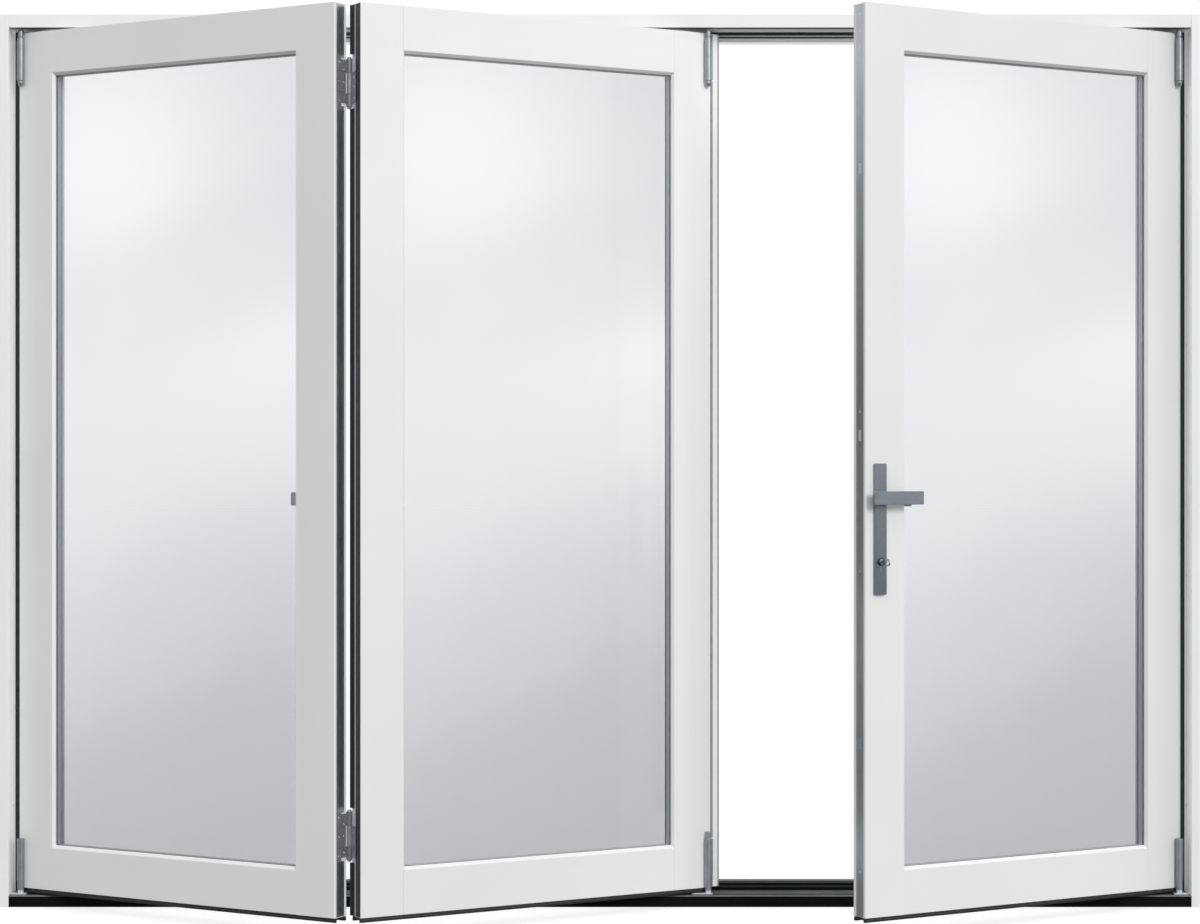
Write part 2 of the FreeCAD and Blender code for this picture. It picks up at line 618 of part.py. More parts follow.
def euro(clear, d0, d1):
    """The lock cylinder's outline, run through the leaf."""
    c = cyly(LEVER_U, d0, d1, CYL_Z, 8.5 + clear)
    b = box(LEVER_U - 5 - clear, LEVER_U + 5 + clear, d0, d1, CYL_Z - 24.5 - clear, CYL_Z)
    return fuse([c, b])


r_screws = [screw((0.0, 20.5, z), (1, 0, 0)) for z in R_SCREW_Z]
bolt_slots = [box(-1, 62, BOLT_D0 - 0.3, BOLT_D1 + 0.3, z - BOLT_H / 2 - 0.3, z + BOLT_H / 2 + 0.3) for z in BOLT_Z]
case = (FACE_T, 60.0, 14.5, 31.5, 780.0, 995.0)
spindle_hole = cyly(LEVER_U, -1, T + 1, LEVER_Z, 10.0)
face_groove = box(-1, FACE_T, FACE_D0, FACE_D1, LEAF_Z0 - 1, LEAF_Z1 + 1)
lock_stile = members[0].cut([face_groove, box(*case), spindle_hole, euro(0.3, -1, T + 1)] + bolt_slots + [s for s, t in r_screws])
keep("right_lock_stile", place_right(lock_stile))
keep("right_pivot_stile", place_right(members[1]))
keep("right_rails", place_right(group([members[2], members[3]])))
keep("right_glass_panes", place_right(panes))
keep("right_spacer_bar", place_right(spacer))
keep("right_glazing_beads", place_right(beads))
keep("right_bottom_seal", place_right(bottom_seal()))
keep("right_pivot_hinges", place_right(hinge_pair(W, 1)))
faceplate = box(0, FACE_T, FACE_D0, FACE_D1, LEAF_Z0 + 2, LEAF_Z1 - 2)
keep("lock_faceplate", place_right(faceplate.cut(bolt_slots + [s for s, t in r_screws])))
keep("lock_screws", place_right(group([s.cut(t) for s, t in r_screws])))
keep("lock_case", place_right(box(*case).cut(
    [cyly(LEVER_U, 0, T, LEVER_Z, 7.0), euro(0.3, 0, T)] + [s for s, t in r_screws])))
keep("lock_bolts", place_right(group([
    rounded(box(0.6, 45, BOLT_D0, BOLT_D1, z - BOLT_H / 2, z + BOLT_H / 2), 1.5, V(1, 0, 0)) for z in BOLT_Z])))


def backplate(d0, d1):
    p = rounded(box(LEVER_U - PLATE_W / 2, LEVER_U + PLATE_W / 2, d0, d1, PLATE_Z0, PLATE_Z1), 2.5, V(0, 1, 0))
    return p.cut([cyly(LEVER_U, d0 - 1, d1 + 1, LEVER_Z, 9.3), euro(0.3, d0 - 1, d1 + 1)])


keep("handle_backplates", place_right(group([backplate(-PLATE_T, 0.0), backplate(T, T + PLATE_T)])))
ol_slab = rounded(box(4.5, 134.6, -32.0, -22.0, LEVER_Z - 14.7, LEVER_Z + 14.7), 2.5, V(0, 1, 0))
keep("outer_lever", place_right(fuse([
    ol_slab, cyly(LEVER_U, -23.0, -0.5, LEVER_Z, 9.0),
    box(LEVER_U - 4, LEVER_U + 4, -1.0, T - 2.0, LEVER_Z - 4, LEVER_Z + 4)])))
il_slab = rounded(box(LEVER_U - 11.0, 174.0, T + 22.0, T + 32.0, LEVER_Z - 20.5, LEVER_Z + 10.5), 2.5, V(0, 1, 0))
keep("inner_lever", place_right(fuse([
    il_slab, cyly(LEVER_U, T - 2.0, T + 23.0, LEVER_Z, 9.0)])))
PLUG_R = 6.4
# The round part of the cylinder stands proud of the backplates, its web ends
# just inside them.
cylinder = fuse([
    cyly(LEVER_U, -11.0, T + 11.0, CYL_Z, 8.5),
    box(LEVER_U - 5, LEVER_U + 5, -PLATE_T + 0.3, T + PLATE_T - 0.3, CYL_Z - 24.5, CYL_Z),
]).cut([
    cyly(LEVER_U, -12.0, 12.0, CYL_Z, PLUG_R + RUN),
])
keep("lock_cylinder", place_right(cylinder))
BOW_D, BOW_Z = -33.0, CYL_Z - 1.5
bow = cylx(LEVER_U - 1.25, LEVER_U + 1.25, BOW_D, BOW_Z, 8.2)
blade = box(LEVER_U - 1.25, LEVER_U + 1.25, -30.0, -11.0, CYL_Z - 4.0, CYL_Z + 3.5)
key = fuse([cyly(LEVER_U, -11.4, 11.8, CYL_Z, PLUG_R), blade, bow])
keep("door_key", place_right(key.cut(cylx(LEVER_U - 5, LEVER_U + 5, BOW_D, BOW_Z, 4.2))))

# ---------------------------------------------------------------- carriage
# It hangs on the track and stays square to it, so it is not turned.
AX_Z = HEAD_UNDER + TRACK_T + 0.3 + 7.0
AX_X = CARRY_X
trolley = fuse(
    [box(CARRY_X - 17, CARRY_X + 17, PY - 4.8, PY + 4.8, HEAD_UNDER + TRACK_T + 1.0, HEAD_UNDER + TRACK_T + 15.0)]
    + top_pin(CARRY_X, PY, HEAD_UNDER + TRACK_T + 2.0))
WHEEL_DX = 11.0
trolley = trolley.cut([cyly(CARRY_X - WHEEL_DX, PY - 9, PY + 9, AX_Z, 1.5 + RUN), cyly(CARRY_X + WHEEL_DX, PY - 9, PY + 9, AX_Z, 1.5 + RUN)])
keep("carrier_trolley", trolley)


def wheelset(x):
    return fuse([
        cyly(x, PY - 9.8, PY + 9.8, AX_Z, 1.5),
        cyly(x, PY - 9.4, PY - 5.6, AX_Z, 7.0),
        cyly(x, PY + 5.6, PY + 9.4, AX_Z, 7.0),
    ])


keep("carrier_wheels_left", wheelset(CARRY_X - WHEEL_DX))
keep("carrier_wheels_right", wheelset(CARRY_X + WHEEL_DX))

guide = fuse(
    shoe(CARRY_X - 39, CARRY_X + 10, CARRY_X, SILL_BED + 0.5)
    + [rounded(box(CARRY_X - 17, CARRY_X + 8, PY - ch + 0.6, PY + ch - 0.6, CHAN_Z0 + CHAN_T + 1.0, SILL_BED + 1.0), 3.0, V(0, 0, 1))])
keep("bottom_guide", guide)

# ---------------------------------------------------------------- write out
for old in os.listdir("parts"):
    if old.endswith(".step") and old[:-5] not in nodes:
        os.remove(os.path.join("parts", old))
for name, shape in nodes.items():
    bad = [s for s in shape.Solids if not s.isValid() or s.Volume <= 0]
    if bad or not shape.Solids:
        raise SystemExit("bad shape in " + name)
    shape.exportStep(os.path.join("parts", name + ".step"))
print(len(nodes), "nodes,", sum(len(s.Solids) for s in nodes.values()), "solids")
print("fold axis", round(FOLD_X, 4), round(FOLD_Y, 4), "carriage x", round(CARRY_X, 4), "pivot y", PY)
print("axle z", AX_Z, "rod", round(ROD_X, 3), round(ROD_Y, 3))
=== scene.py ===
import math

import bmesh
import bpy
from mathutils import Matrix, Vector


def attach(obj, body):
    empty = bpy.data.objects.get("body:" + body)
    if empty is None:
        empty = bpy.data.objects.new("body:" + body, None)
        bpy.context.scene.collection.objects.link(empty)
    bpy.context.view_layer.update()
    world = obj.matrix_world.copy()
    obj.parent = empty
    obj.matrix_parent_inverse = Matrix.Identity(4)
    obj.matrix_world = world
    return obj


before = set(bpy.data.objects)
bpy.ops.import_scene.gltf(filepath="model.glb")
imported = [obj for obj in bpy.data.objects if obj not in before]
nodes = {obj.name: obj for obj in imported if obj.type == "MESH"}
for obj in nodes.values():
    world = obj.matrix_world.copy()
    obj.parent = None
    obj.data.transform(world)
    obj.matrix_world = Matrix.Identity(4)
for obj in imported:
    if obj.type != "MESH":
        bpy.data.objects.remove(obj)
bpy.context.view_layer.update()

scene = bpy.context.scene

# ------------------------------------------------------------------ placing
# Leaf coordinates in millimetres: u along the leaf, d back from its outer
# face, z up. Each function gives the place in metres at rest.
TH = math.radians(29.5)
C, S = math.cos(TH), math.sin(TH)
PIVOT_Y = -36.5
W, T = 898.0, 46.0
SZ0, SZ1 = 146.0, 1936.0
GLASS_IN = 31.5


def left(u, d, z):
    x, y = u - 12.0, d + 8.5
    return ((-1354.0 + x * C + y * S) / 1000, (PIVOT_Y - x * S + y * C) / 1000, z / 1000)


def middle(u, d, z):
    x, y = u - 886.0, d + 8.5
    return ((252.9612 + x * C - y * S) / 1000, (PIVOT_Y + x * S + y * C) / 1000, z / 1000)


def right(u, d, z):
    x, y = u - 886.0, d + 8.5
    return ((1354.0 + x * C - y * S) / 1000, (PIVOT_Y + x * S + y * C) / 1000, z / 1000)


LEAVES = {"left": (left, -TH), "middle": (middle, TH), "right": (right, TH)}
# Sight lines of the stiles: the pivot or lead stile is the slimmer one.
SIGHT = {"left": (104.0, W - 109.0), "middle": (109.0, W - 104.0), "right": (109.0, W - 104.0)}


# ------------------------------------------------------------------ node helpers
class Tree:
    """A material's node tree with short calls for the nodes used here."""

    def __init__(self, name):
        self.mat = bpy.data.materials.new(name)
        self.mat.use_nodes = True
        self.nt = self.mat.node_tree
        self.nt.nodes.clear()
        self.out = self.add("ShaderNodeOutputMaterial")

    def add(self, kind, **props):
        n = self.nt.nodes.new(kind)
        for k, v in props.items():
            setattr(n, k, v)
        return n

    def link(self, a, b):
        self.nt.links.new(a, b)

    def coords(self, origin=(0, 0, 0), turn=0.0, size=(1, 1, 1)):
        """Object coordinates, seen from origin and turned about Z, divided by size."""
        tc = self.add("ShaderNodeTexCoord")
        mp = self.add("ShaderNodeMapping", vector_type="TEXTURE")
        mp.inputs["Location"].default_value = origin
        mp.inputs["Rotation"].default_value = (0, 0, turn)
        mp.inputs["Scale"].default_value = size
        self.link(tc.outputs["Object"], mp.inputs["Vector"])
        return mp.outputs["Vector"]

    def noise(self, vec, scale, detail=3.0, rough=0.5, distortion=0.0):
        n = self.add("ShaderNodeTexNoise")
        n.inputs["Scale"].default_value = scale
        n.inputs["Detail"].default_value = detail
        n.inputs["Roughness"].default_value = rough
        n.inputs["Distortion"].default_value = distortion
        self.link(vec, n.inputs["Vector"])
        return n.outputs["Fac"]

    def ramp(self, fac, stops, interpolation="LINEAR"):
        n = self.add("ShaderNodeValToRGB")
        n.color_ramp.interpolation = interpolation
        e = n.color_ramp.elements
        while len(e) < len(stops):
            e.new(0.5)
        for el, (p, c) in zip(e, stops):
            el.position = p
            el.color = (*c, 1.0)
        self.link(fac, n.inputs["Fac"])
        return n.outputs["Color"]

    def range(self, value, a, b, lo, hi, smooth=False):
        n = self.add("ShaderNodeMapRange")
        n.interpolation_type = "SMOOTHSTEP" if smooth else "LINEAR"
        n.clamp = True
        for k, v in (("From Min", a), ("From Max", b), ("To Min", lo), ("To Max", hi)):
            n.inputs[k].default_value = v
        self.link(value, n.inputs["Value"])
        return n.outputs["Result"]

    def math(self, op, a, b=None, clamp=False):
        n = self.add("ShaderNodeMath", operation=op, use_clamp=clamp)
        for i, v in enumerate((a, b)):
            if v is None:
                continue
            if isinstance(v, (int, float)):
                n.inputs[i].default_value = v
            else:
                self.link(v, n.inputs[i])
        return n.outputs[0]

    def mix(self, fac, a, b, blend="MIX"):
        n = self.add("ShaderNodeMix", data_type="RGBA", blend_type=blend)
        for sock, v in ((n.inputs[0], fac), (n.inputs[6], a), (n.inputs[7], b)):
            if isinstance(v, (int, float)):
                sock.default_value = v
            elif isinstance(v, tuple):
                sock.default_value = (*v, 1.0)
            else:
                self.link(v, sock)
        return n.outputs[2]

    def split(self, vec):
        n = self.add("ShaderNodeSeparateXYZ")
        self.link(vec, n.inputs[0])
        return n.outputs

    def bump(self, height, strength, distance, normal=None):
        n = self.add("ShaderNodeBump")
        n.inputs["Strength"].default_value = strength
        n.inputs["Distance"].default_value = distance
        self.link(height, n.inputs["Height"])
        if normal is not None:
            self.link(normal, n.inputs["Normal"])
        return n.outputs["Normal"]

    def surface(self, color, rough, normal=None, metallic=0.0, **sockets):
        p = self.add("ShaderNodeBsdfPrincipled")
        for name, v in (("Base Color", color), ("Roughness", rough), ("Metallic", metallic)):
            if isinstance(v, tuple):
                p.inputs[name].default_value = (*v, 1.0)
            elif isinstance(v, (int, float)):
                p.inputs[name].default_value = v
            else:
                self.link(v, p.inputs[name])
        for name, v in sockets.items():
            p.inputs[name.replace("_", " ")].default_value = v
        if normal is not None:
            self.link(normal, p.inputs["Normal"])
        self.link(p.outputs[0], self.out.inputs["Surface"])
        return p


# ------------------------------------------------------------------ materials
def paint(name, turn=0.0, along="z", tone=1.0, shades=(), place=None, lift=(), dim=()):
    """Sprayed white paint on planed timber: faint fibre along the grain and a
    fine orange peel. A shade is (axis, from, to, stops) and multiplies the
    colour along u, d or z: painted shade and light. lift lists painted glows
    (axis, from, to, low, high, normal axis, sign), emission standing in for light
    on the faces that look one way in a rebate. dim lists painted shade, darkening
    the faces that the soft light reaches less."""
    t = Tree(name)
    size = {"z": (0.010, 0.010, 0.42), "x": (0.42, 0.010, 0.010), "n": (0.03, 0.03, 0.03)}[along]
    fibre = t.noise(t.coords(turn=turn, size=size), 1.0, 4.0, 0.55, 0.25)
    cloud = t.noise(t.coords(turn=turn), 3.2, 2.0, 0.5)
    peel = t.noise(t.coords(), 420.0, 2.0, 0.5)
    base = t.ramp(cloud, [(0.30, (0.826 * tone, 0.842 * tone, 0.833 * tone)),
                          (0.72, (0.858 * tone, 0.873 * tone, 0.865 * tone))])
    color = t.mix(t.range(fibre, 0.35, 0.70, 0.0, 0.10), base,
                  (0.775 * tone, 0.79 * tone, 0.785 * tone))
    # Painted shade and light: each shade multiplies the colour by a ramp along u, d or z.
    if shades:
        local = t.split(t.coords(origin=place(0, 0, 0) if place else (0, 0, 0), turn=turn))
        for axis, lo, hi, stops in shades:
            grey = [(f, (v, v, v)) for f, v in stops]
            color = t.mix(1.0, color, t.ramp(t.range(local["udz".index(axis)], lo, hi, 0.0, 1.0), grey), "MULTIPLY")
    if lift or dim:
        tc = t.add("ShaderNodeTexCoord")
        normal, at = t.split(tc.outputs["Normal"]), t.split(t.coords())

        def on(axis, lo, hi, low, high, way, sign):
            facing = t.math("MULTIPLY", normal["xyz".index(way)], sign)
            return t.math("MULTIPLY", t.range(at["xyz".index(axis)], lo, hi, low, high), t.range(facing, 0.5, 0.9, 0.0, 1.0))

    # Painted shade: dim darkens the faces it picks towards black.
    for rule in dim:
        color = t.mix(on(*rule), color, (0.0, 0.0, 0.0))
    rough = t.range(fibre, 0.3, 0.7, 0.30, 0.40)
    n = t.bump(peel, 0.10, 0.00025)
    n = t.bump(fibre, 0.10, 0.0006, n)
    bsdf = t.surface(color, rough, n, Specular_IOR_Level=0.45)
    # Painted light: lift makes the faces it picks glow by emission, fill light painted on.
    if lift:
        total = None
        for rule in lift:
            glow = on(*rule)
            total = glow if total is None else t.math("ADD", total, glow)
        bsdf.inputs["Emission Color"].default_value = (0.99, 1.0, 0.995, 1.0)
        t.link(total, bsdf.inputs["Emission Strength"])
        t.mat.cycles.emission_sampling = "NONE"
    return t.mat


def metal(name, dark, light, rough=(0.22, 0.36), grain=(0.004, 0.004, 0.16), turn=0.0, mottle=38.0, metallic=1.0, painted_shade_up=None):
    """Metal with a fine drawn grain and a soft mottle. fade is (from, to, low,
    high): painted shade, its tone scaled up the height."""
    t = Tree(name)
    drawn = t.noise(t.coords(turn=turn, size=grain), 1.6, 3.0, 0.6)
    spots = t.noise(t.coords(), mottle, 3.0, 0.55)
    both = t.math("ADD", t.math("MULTIPLY", drawn, 0.55), t.math("MULTIPLY", spots, 0.45))
    color = t.ramp(both, [(0.34, dark), (0.66, light)])
    # Painted shade: fade scales the tone up the height, darker low down.
    if painted_shade_up:
        tone = t.range(t.split(t.coords())[2], *painted_shade_up)
        color = t.mix(1.0, color, t.ramp(tone, [(0.0, (0.0, 0.0, 0.0)), (1.0, (1.0, 1.0, 1.0))]), "MULTIPLY")
    r = t.range(drawn, 0.3, 0.7, *rough)
    n = t.bump(drawn, 0.12, 0.0002)
    t.surface(color, r, n, metallic=metallic)
    return t.mat


def faceplate(name):
    """The lock's long faceplate: drawn along its length, with a painted reflection up its height that leaves it paler
    at its ends.
    """
    t = Tree(name)
    x, y, z = t.split(t.coords())
    drawn = t.noise(t.coords(turn=TH, size=(0.004, 0.004, 0.16)), 1.6, 3.0, 0.6)
    # Painted reflection: the tone rises and falls up the height.
    tone = t.ramp(t.range(z, 0.0, 2.1, 0.0, 1.0), [
        (0.050, (0.300, 0.305, 0.305)), (0.080, (0.400, 0.415, 0.430)), (0.130, (0.395, 0.400, 0.405)),
        (0.300, (0.440, 0.445, 0.445)), (0.435, (0.270, 0.270, 0.265)), (0.560, (0.215, 0.213, 0.205)),
        (0.665, (0.250, 0.250, 0.240)), (0.765, (0.310, 0.315, 0.315)), (0.830, (0.420, 0.435, 0.450)),
        (0.900, (0.490, 0.510, 0.530)), (0.955, (0.400, 0.415, 0.430))], "EASE")
    color = t.mix(1.0, tone, t.ramp(drawn, [(0.34, (0.90, 0.90, 0.90)), (0.66, (1.10, 1.10, 1.10))]), "MULTIPLY")
    t.surface(color, t.range(drawn, 0.3, 0.7, 0.30, 0.42), t.bump(drawn, 0.12, 0.0002), metallic=1.0)
    return t.mat


def cylinder(name):
    """The lock cylinder: a dark round body, its web in the backplate's tone."""
    t = Tree(name)
    x, y, z = t.split(t.coords())
    fine = t.noise(t.coords(), 180.0, 3.0, 0.55)
    dark = t.ramp(fine, [(0.34, (0.045, 0.048, 0.052)), (0.66, (0.085, 0.090, 0.095))])
    plain = t.ramp(fine, [(0.34, (0.185, 0.203, 0.230)), (0.66, (0.235, 0.255, 0.284))])
    color = t.mix(t.range(z, 0.8100, 0.8106, 0.0, 1.0), plain, dark)
    t.surface(color, t.range(fine, 0.3, 0.7, 0.30, 0.42), t.bump(fine, 0.1, 0.0001), metallic=1.0)
    return t.mat


def rubber(name, dark, light, rough=(0.42, 0.62)):
    """Extruded rubber: draw lines along it and a dusty bloom."""
    t = Tree(name)
    bloom = t.noise(t.coords(), 55.0, 4.0, 0.6)
    lines = t.noise(t.coords(size=(0.0016, 0.0016, 0.3)), 1.0, 2.0, 0.5)
    color = t.ramp(bloom, [(0.35, dark), (0.75, light)])
    n = t.bump(lines, 0.25, 0.0003)
    t.surface(color, t.range(bloom, 0.3, 0.7, *rough), n, Specular_IOR_Level=0.4)
    return t.mat


def glass(name, place, turn):
    """Clear pane whose tint carries a painted reflection of a clouded sky: a pale
    patch high on one side, a pale streak across the middle, darker towards the foot."""
    t = Tree(name)
    vec = t.coords(origin=place(0, 0, 0), turn=turn)
    u, d, z = t.split(vec)
    cloud = t.noise(vec, 2.3, 2.0, 0.45, 0.4)

    def patch(u0, z0, wide, high, slope=0.0):
        """1 in the middle of an oval patch, 0 from its rim on."""
        du = t.math("SUBTRACT", u, u0)
        dz = t.math("SUBTRACT", t.math("SUBTRACT", z, z0), t.math("MULTIPLY", du, slope))
        a, b = t.math("DIVIDE", du, wide), t.math("DIVIDE", dz, high)
        r = t.math("SQRT", t.math("ADD", t.math("MULTIPLY", a, a), t.math("MULTIPLY", b, b)))
        return t.range(r, 0.0, 1.0, 1.0, 0.0, True)

    # Painted reflection: tint levels up the height, tilted and patched, stand in for the sky mirrored in the pane.
    tilt = t.math("MULTIPLY", t.range(u, 0.10, 0.80, -0.13, 0.13), t.range(z, 1.20, 0.75, 0.0, 1.0, True))
    lift = t.math("MULTIPLY", t.math("SUBTRACT", cloud, 0.5), 0.16)
    pos = t.math("ADD", t.math("SUBTRACT", z, tilt), lift)
    level = t.ramp(t.range(pos, 0.145, 1.937, 0.0, 1.0), [(f, (v, v, v)) for f, v in (
        (0.00, 0.515), (0.20, 0.600), (0.42, 0.755), (0.58, 0.847), (0.76, 0.775), (1.00, 0.728))], "CARDINAL")
    for amount, oval in ((0.166, patch(0.22, 1.74, 0.66, 0.50)), (0.052, patch(0.86, 1.31, 0.62, 0.17, 0.12)),
                         (-0.026, patch(0.45, 1.53, 0.60, 0.15, 0.34))):
        level = t.math("ADD", level, t.math("MULTIPLY", oval, amount))
    shade = t.ramp(level, [(0.0, (0.0, 0.0, 0.0)), (0.50, (0.4975, 0.50, 0.517)), (0.75, (0.744, 0.75, 0.768)),
                           (0.88, (0.872, 0.88, 0.890)), (1.0, (0.992, 1.0, 1.0))])
    face = t.add("ShaderNodeGamma")
    face.inputs["Gamma"].default_value = 0.25
    t.link(shade, face.inputs["Color"])
    clear = t.add("ShaderNodeBsdfTransparent")
    t.link(face.outputs[0], clear.inputs["Color"])
    gloss = t.add("ShaderNodeBsdfGlossy")
    gloss.inputs["Color"].default_value = (0.95, 0.97, 1.0, 1.0)
    t.link(t.range(cloud, 0.2, 0.8, 0.01, 0.03), gloss.inputs["Roughness"])
    lw = t.add("ShaderNodeLayerWeight")
    lw.inputs["Blend"].default_value = 0.5
    grazing = t.math("POWER", lw.outputs["Facing"], 5.0)
    m = t.add("ShaderNodeMixShader")
    t.link(t.math("ADD", t.math("MULTIPLY", grazing, 0.9), 0.014), m.inputs[0])
    t.link(clear.outputs[0], m.inputs[1])
    t.link(gloss.outputs[0], m.inputs[2])
    t.link(m.outputs[0], t.out.inputs["Surface"])
    return t.mat


def spacer(name, place, turn, k):
    """Aluminium spacer bar with its rows of breather holes, its tone scaled by k and up the height: painted light and
    shade.
    """
    t = Tree(name)
    vec = t.coords(origin=place(0, 0, 0), turn=turn)
    v = t.add("ShaderNodeTexVoronoi", voronoi_dimensions="3D", feature="F1")
    v.inputs["Scale"].default_value = 250.0
    v.inputs["Randomness"].default_value = 0.0
    t.link(vec, v.inputs["Vector"])
    hole = t.range(v.outputs["Distance"], 0.20, 0.27, 1.0, 0.0)
    drawn = t.noise(t.coords(origin=place(0, 0, 0), turn=turn, size=(0.003, 0.003, 0.2)), 1.0, 2.0)
    base = t.ramp(drawn, [(0.3, (0.49 * k, 0.515 * k, 0.54 * k)), (0.7, (0.585 * k, 0.615 * k, 0.64 * k))])
    # Painted shade: the tone scaled up the height, palest at the foot.
    up = t.ramp(t.range(t.split(vec)[2], 0.15, 1.95, 0.0, 1.0), [
        (0.0, (1.0, 1.0, 1.0)), (0.55, (0.72, 0.72, 0.72)), (1.0, (0.86, 0.86, 0.86))])
    base = t.mix(1.0, base, up, "MULTIPLY")
    color = t.mix(t.math("MULTIPLY", hole, 0.6), base, (0.10, 0.10, 0.105))
    t.surface(color, t.range(drawn, 0.3, 0.7, 0.40, 0.55), t.bump(hole, 0.3, 0.0004), metallic=0.25)
    return t.mat


def sill(name, k):
    """Dark anodised threshold: brushed on the faces that look up, black on
    those that look forward."""
    t = Tree(name)
    drawn = t.noise(t.coords(size=(0.30, 0.0025, 0.0025)), 1.0, 3.0, 0.6)
    dust = t.noise(t.coords(), 24.0, 4.0, 0.6)
    top = t.ramp(drawn, [(0.3, (0.070 * k, 0.073 * k, 0.077 * k)), (0.7, (0.105 * k, 0.109 * k, 0.114 * k))])
    top = t.mix(t.range(dust, 0.5, 0.8, 0.0, 0.35), top, (0.130 * k, 0.133 * k, 0.137 * k))
    tc = t.add("ShaderNodeTexCoord")
    nx, ny, nz = t.split(tc.outputs["Normal"])
    x, y, z = t.split(t.coords())
    front = t.math("MAXIMUM", t.range(nz, 0.25, 0.60, 1.0, 0.0, True), t.range(z, 0.0205, 0.0215, 1.0, 0.0))
    color = t.mix(front, top, (0.0030, 0.0032, 0.0031))
    rough = t.math("ADD", t.range(drawn, 0.3, 0.7, 0.40, 0.52), t.math("MULTIPLY", front, 0.12))
    t.surface(color, rough, t.bump(drawn, 0.15, 0.0002), Specular_IOR_Level=0.10)
    return t.mat


def fold_strip(name):
    """The middle leaf's fold edge: a graphite strip in front, a pale bead and a
    black bulb seal behind it."""
    t = Tree(name)
    u, d, z = t.split(t.coords(origin=middle(0, 0, 0), turn=TH))
    bloom = t.noise(t.coords(), 55.0, 4.0, 0.6)
    lines = t.noise(t.coords(size=(0.0016, 0.0016, 0.3)), 1.0, 2.0, 0.5)
    seal = t.ramp(bloom, [(0.35, (0.009, 0.0095, 0.010)), (0.75, (0.018, 0.019, 0.020))])
    strip = t.ramp(lines, [(0.3, (0.027, 0.030, 0.032)), (0.7, (0.042, 0.046, 0.049))])
    bead = t.ramp(lines, [(0.3, (0.40, 0.42, 0.43)), (0.7, (0.52, 0.54, 0.55))])
    color = t.mix(t.range(d, 0.0206, 0.0208, 0.0, 1.0), strip, bead)
    color = t.mix(t.range(d, 0.0261, 0.0263, 0.0, 1.0), color, seal)
    t.surface(color, t.range(bloom, 0.3, 0.7, 0.40, 0.58), t.bump(lines, 0.25, 0.0003), Specular_IOR_Level=0.3)
    return t.mat


def nylon(name):
    t = Tree(name)
    flow = t.noise(t.coords(), 160.0, 3.0, 0.6)
    color = t.ramp(flow, [(0.3, (0.10, 0.105, 0.11)), (0.7, (0.15, 0.155, 0.16))])
    t.surface(color, t.range(flow, 0.3, 0.7, 0.4, 0.55), t.bump(flow, 0.1, 0.0002))
    return t.mat


PAINT_UP = paint("paint_upright")
# Painted light and shade: the head is a paler copy of the paint, its colour scaled lighter and darker along its
# length.
PAINT_HEAD = paint("paint_head", along="x", tone=1.04, shades=[("u", -1.4, 1.4, [
    (0.03, 1.09), (0.09, 1.00), (0.34, 1.07), (0.67, 1.08), (0.79, 0.99), (0.90, 1.0), (0.97, 1.03)])])
# Painted light: the jambs' colour scaled up by height, most near the top, and a painted glow on their reveals,
# stronger towards the back.
JAMB_SHADE = [("z", 0.0, 2.1, [(0.0, 1.06), (0.62, 1.05), (0.84, 1.075), (0.95, 1.13)])]
PAINT_JAMB = {s: paint("paint_jamb_" + s, shades=JAMB_SHADE, lift=[("y", -0.057, 0.0215, 0.04, 0.22, "x", w)])
              for s, w in (("left", 1.0), ("right", -1.0))}
# Painted light: a glow on the faces that look down under the head stop.
PAINT_STOPS = paint("paint_stops", along="n", lift=[("z", 2.0, 2.02, 0.0, 0.34, "z", -1.0)])
# Painted light and shade on the rails: a glow on faces that look up near the foot, and faces that look down near the
# top darkened.
RAIL = dict(lift=[("z", 0.2, 0.3, 0.16, 0.0, "z", 1.0)], dim=[("z", 1.8, 1.9, 0.0, 0.56, "z", -1.0)])
PAINT_LEFT = paint("paint_left_rail", turn=-TH, along="x", **RAIL)
# Painted light and shade: the middle leaf's paint scaled lighter up its height and towards its lead edge.
MIDDLE_SHADE = [("z", 0.2, 2.0, [(0.0, 0.985), (0.35, 1.01), (0.70, 1.04), (0.86, 1.055), (1.0, 1.05)]),
                ("u", 0.1, 0.9, [(0.0, 0.995), (0.6, 1.03), (0.93, 1.045), (0.975, 1.10), (1.0, 1.12)])]
PAINT_MIDDLE = {g: paint("paint_middle_" + g, turn=TH, along=g, shades=MIDDLE_SHADE, place=middle, **(RAIL if g == "x" else {})) for g in "xz"}
# Painted shade: the right leaf's paint darker towards its pivot edge beside the jamb.
RIGHT_SHADE = [("u", 0.70, 0.90, [(0.0, 1.0), (0.40, 0.975), (0.65, 0.94), (0.84, 0.85), (1.0, 0.80)])]
PAINT_RIGHT = {g: paint("paint_right_" + g, turn=TH, along=g, shades=RIGHT_SHADE, place=right, **(RAIL if g == "x" else {})) for g in "xz"}
PAINT_SMALL = paint("paint_moulding", along="n")
# Painted light: a glow on the meeting strip's faces that look forward.
PAINT_MEETING = paint("paint_meeting_strip", lift=[("z", -0.1, 0.0, 0.0, 0.15, "y", -1.0)])
# One steel at two brightnesses: the carrier copy is paler, painted light.
HINGE = metal("hinge_steel", (0.255, 0.280, 0.300), (0.345, 0.372, 0.395), (0.42, 0.54))
CARRIER = metal("carrier_steel", (0.305, 0.328, 0.350), (0.405, 0.430, 0.455), (0.40, 0.52))
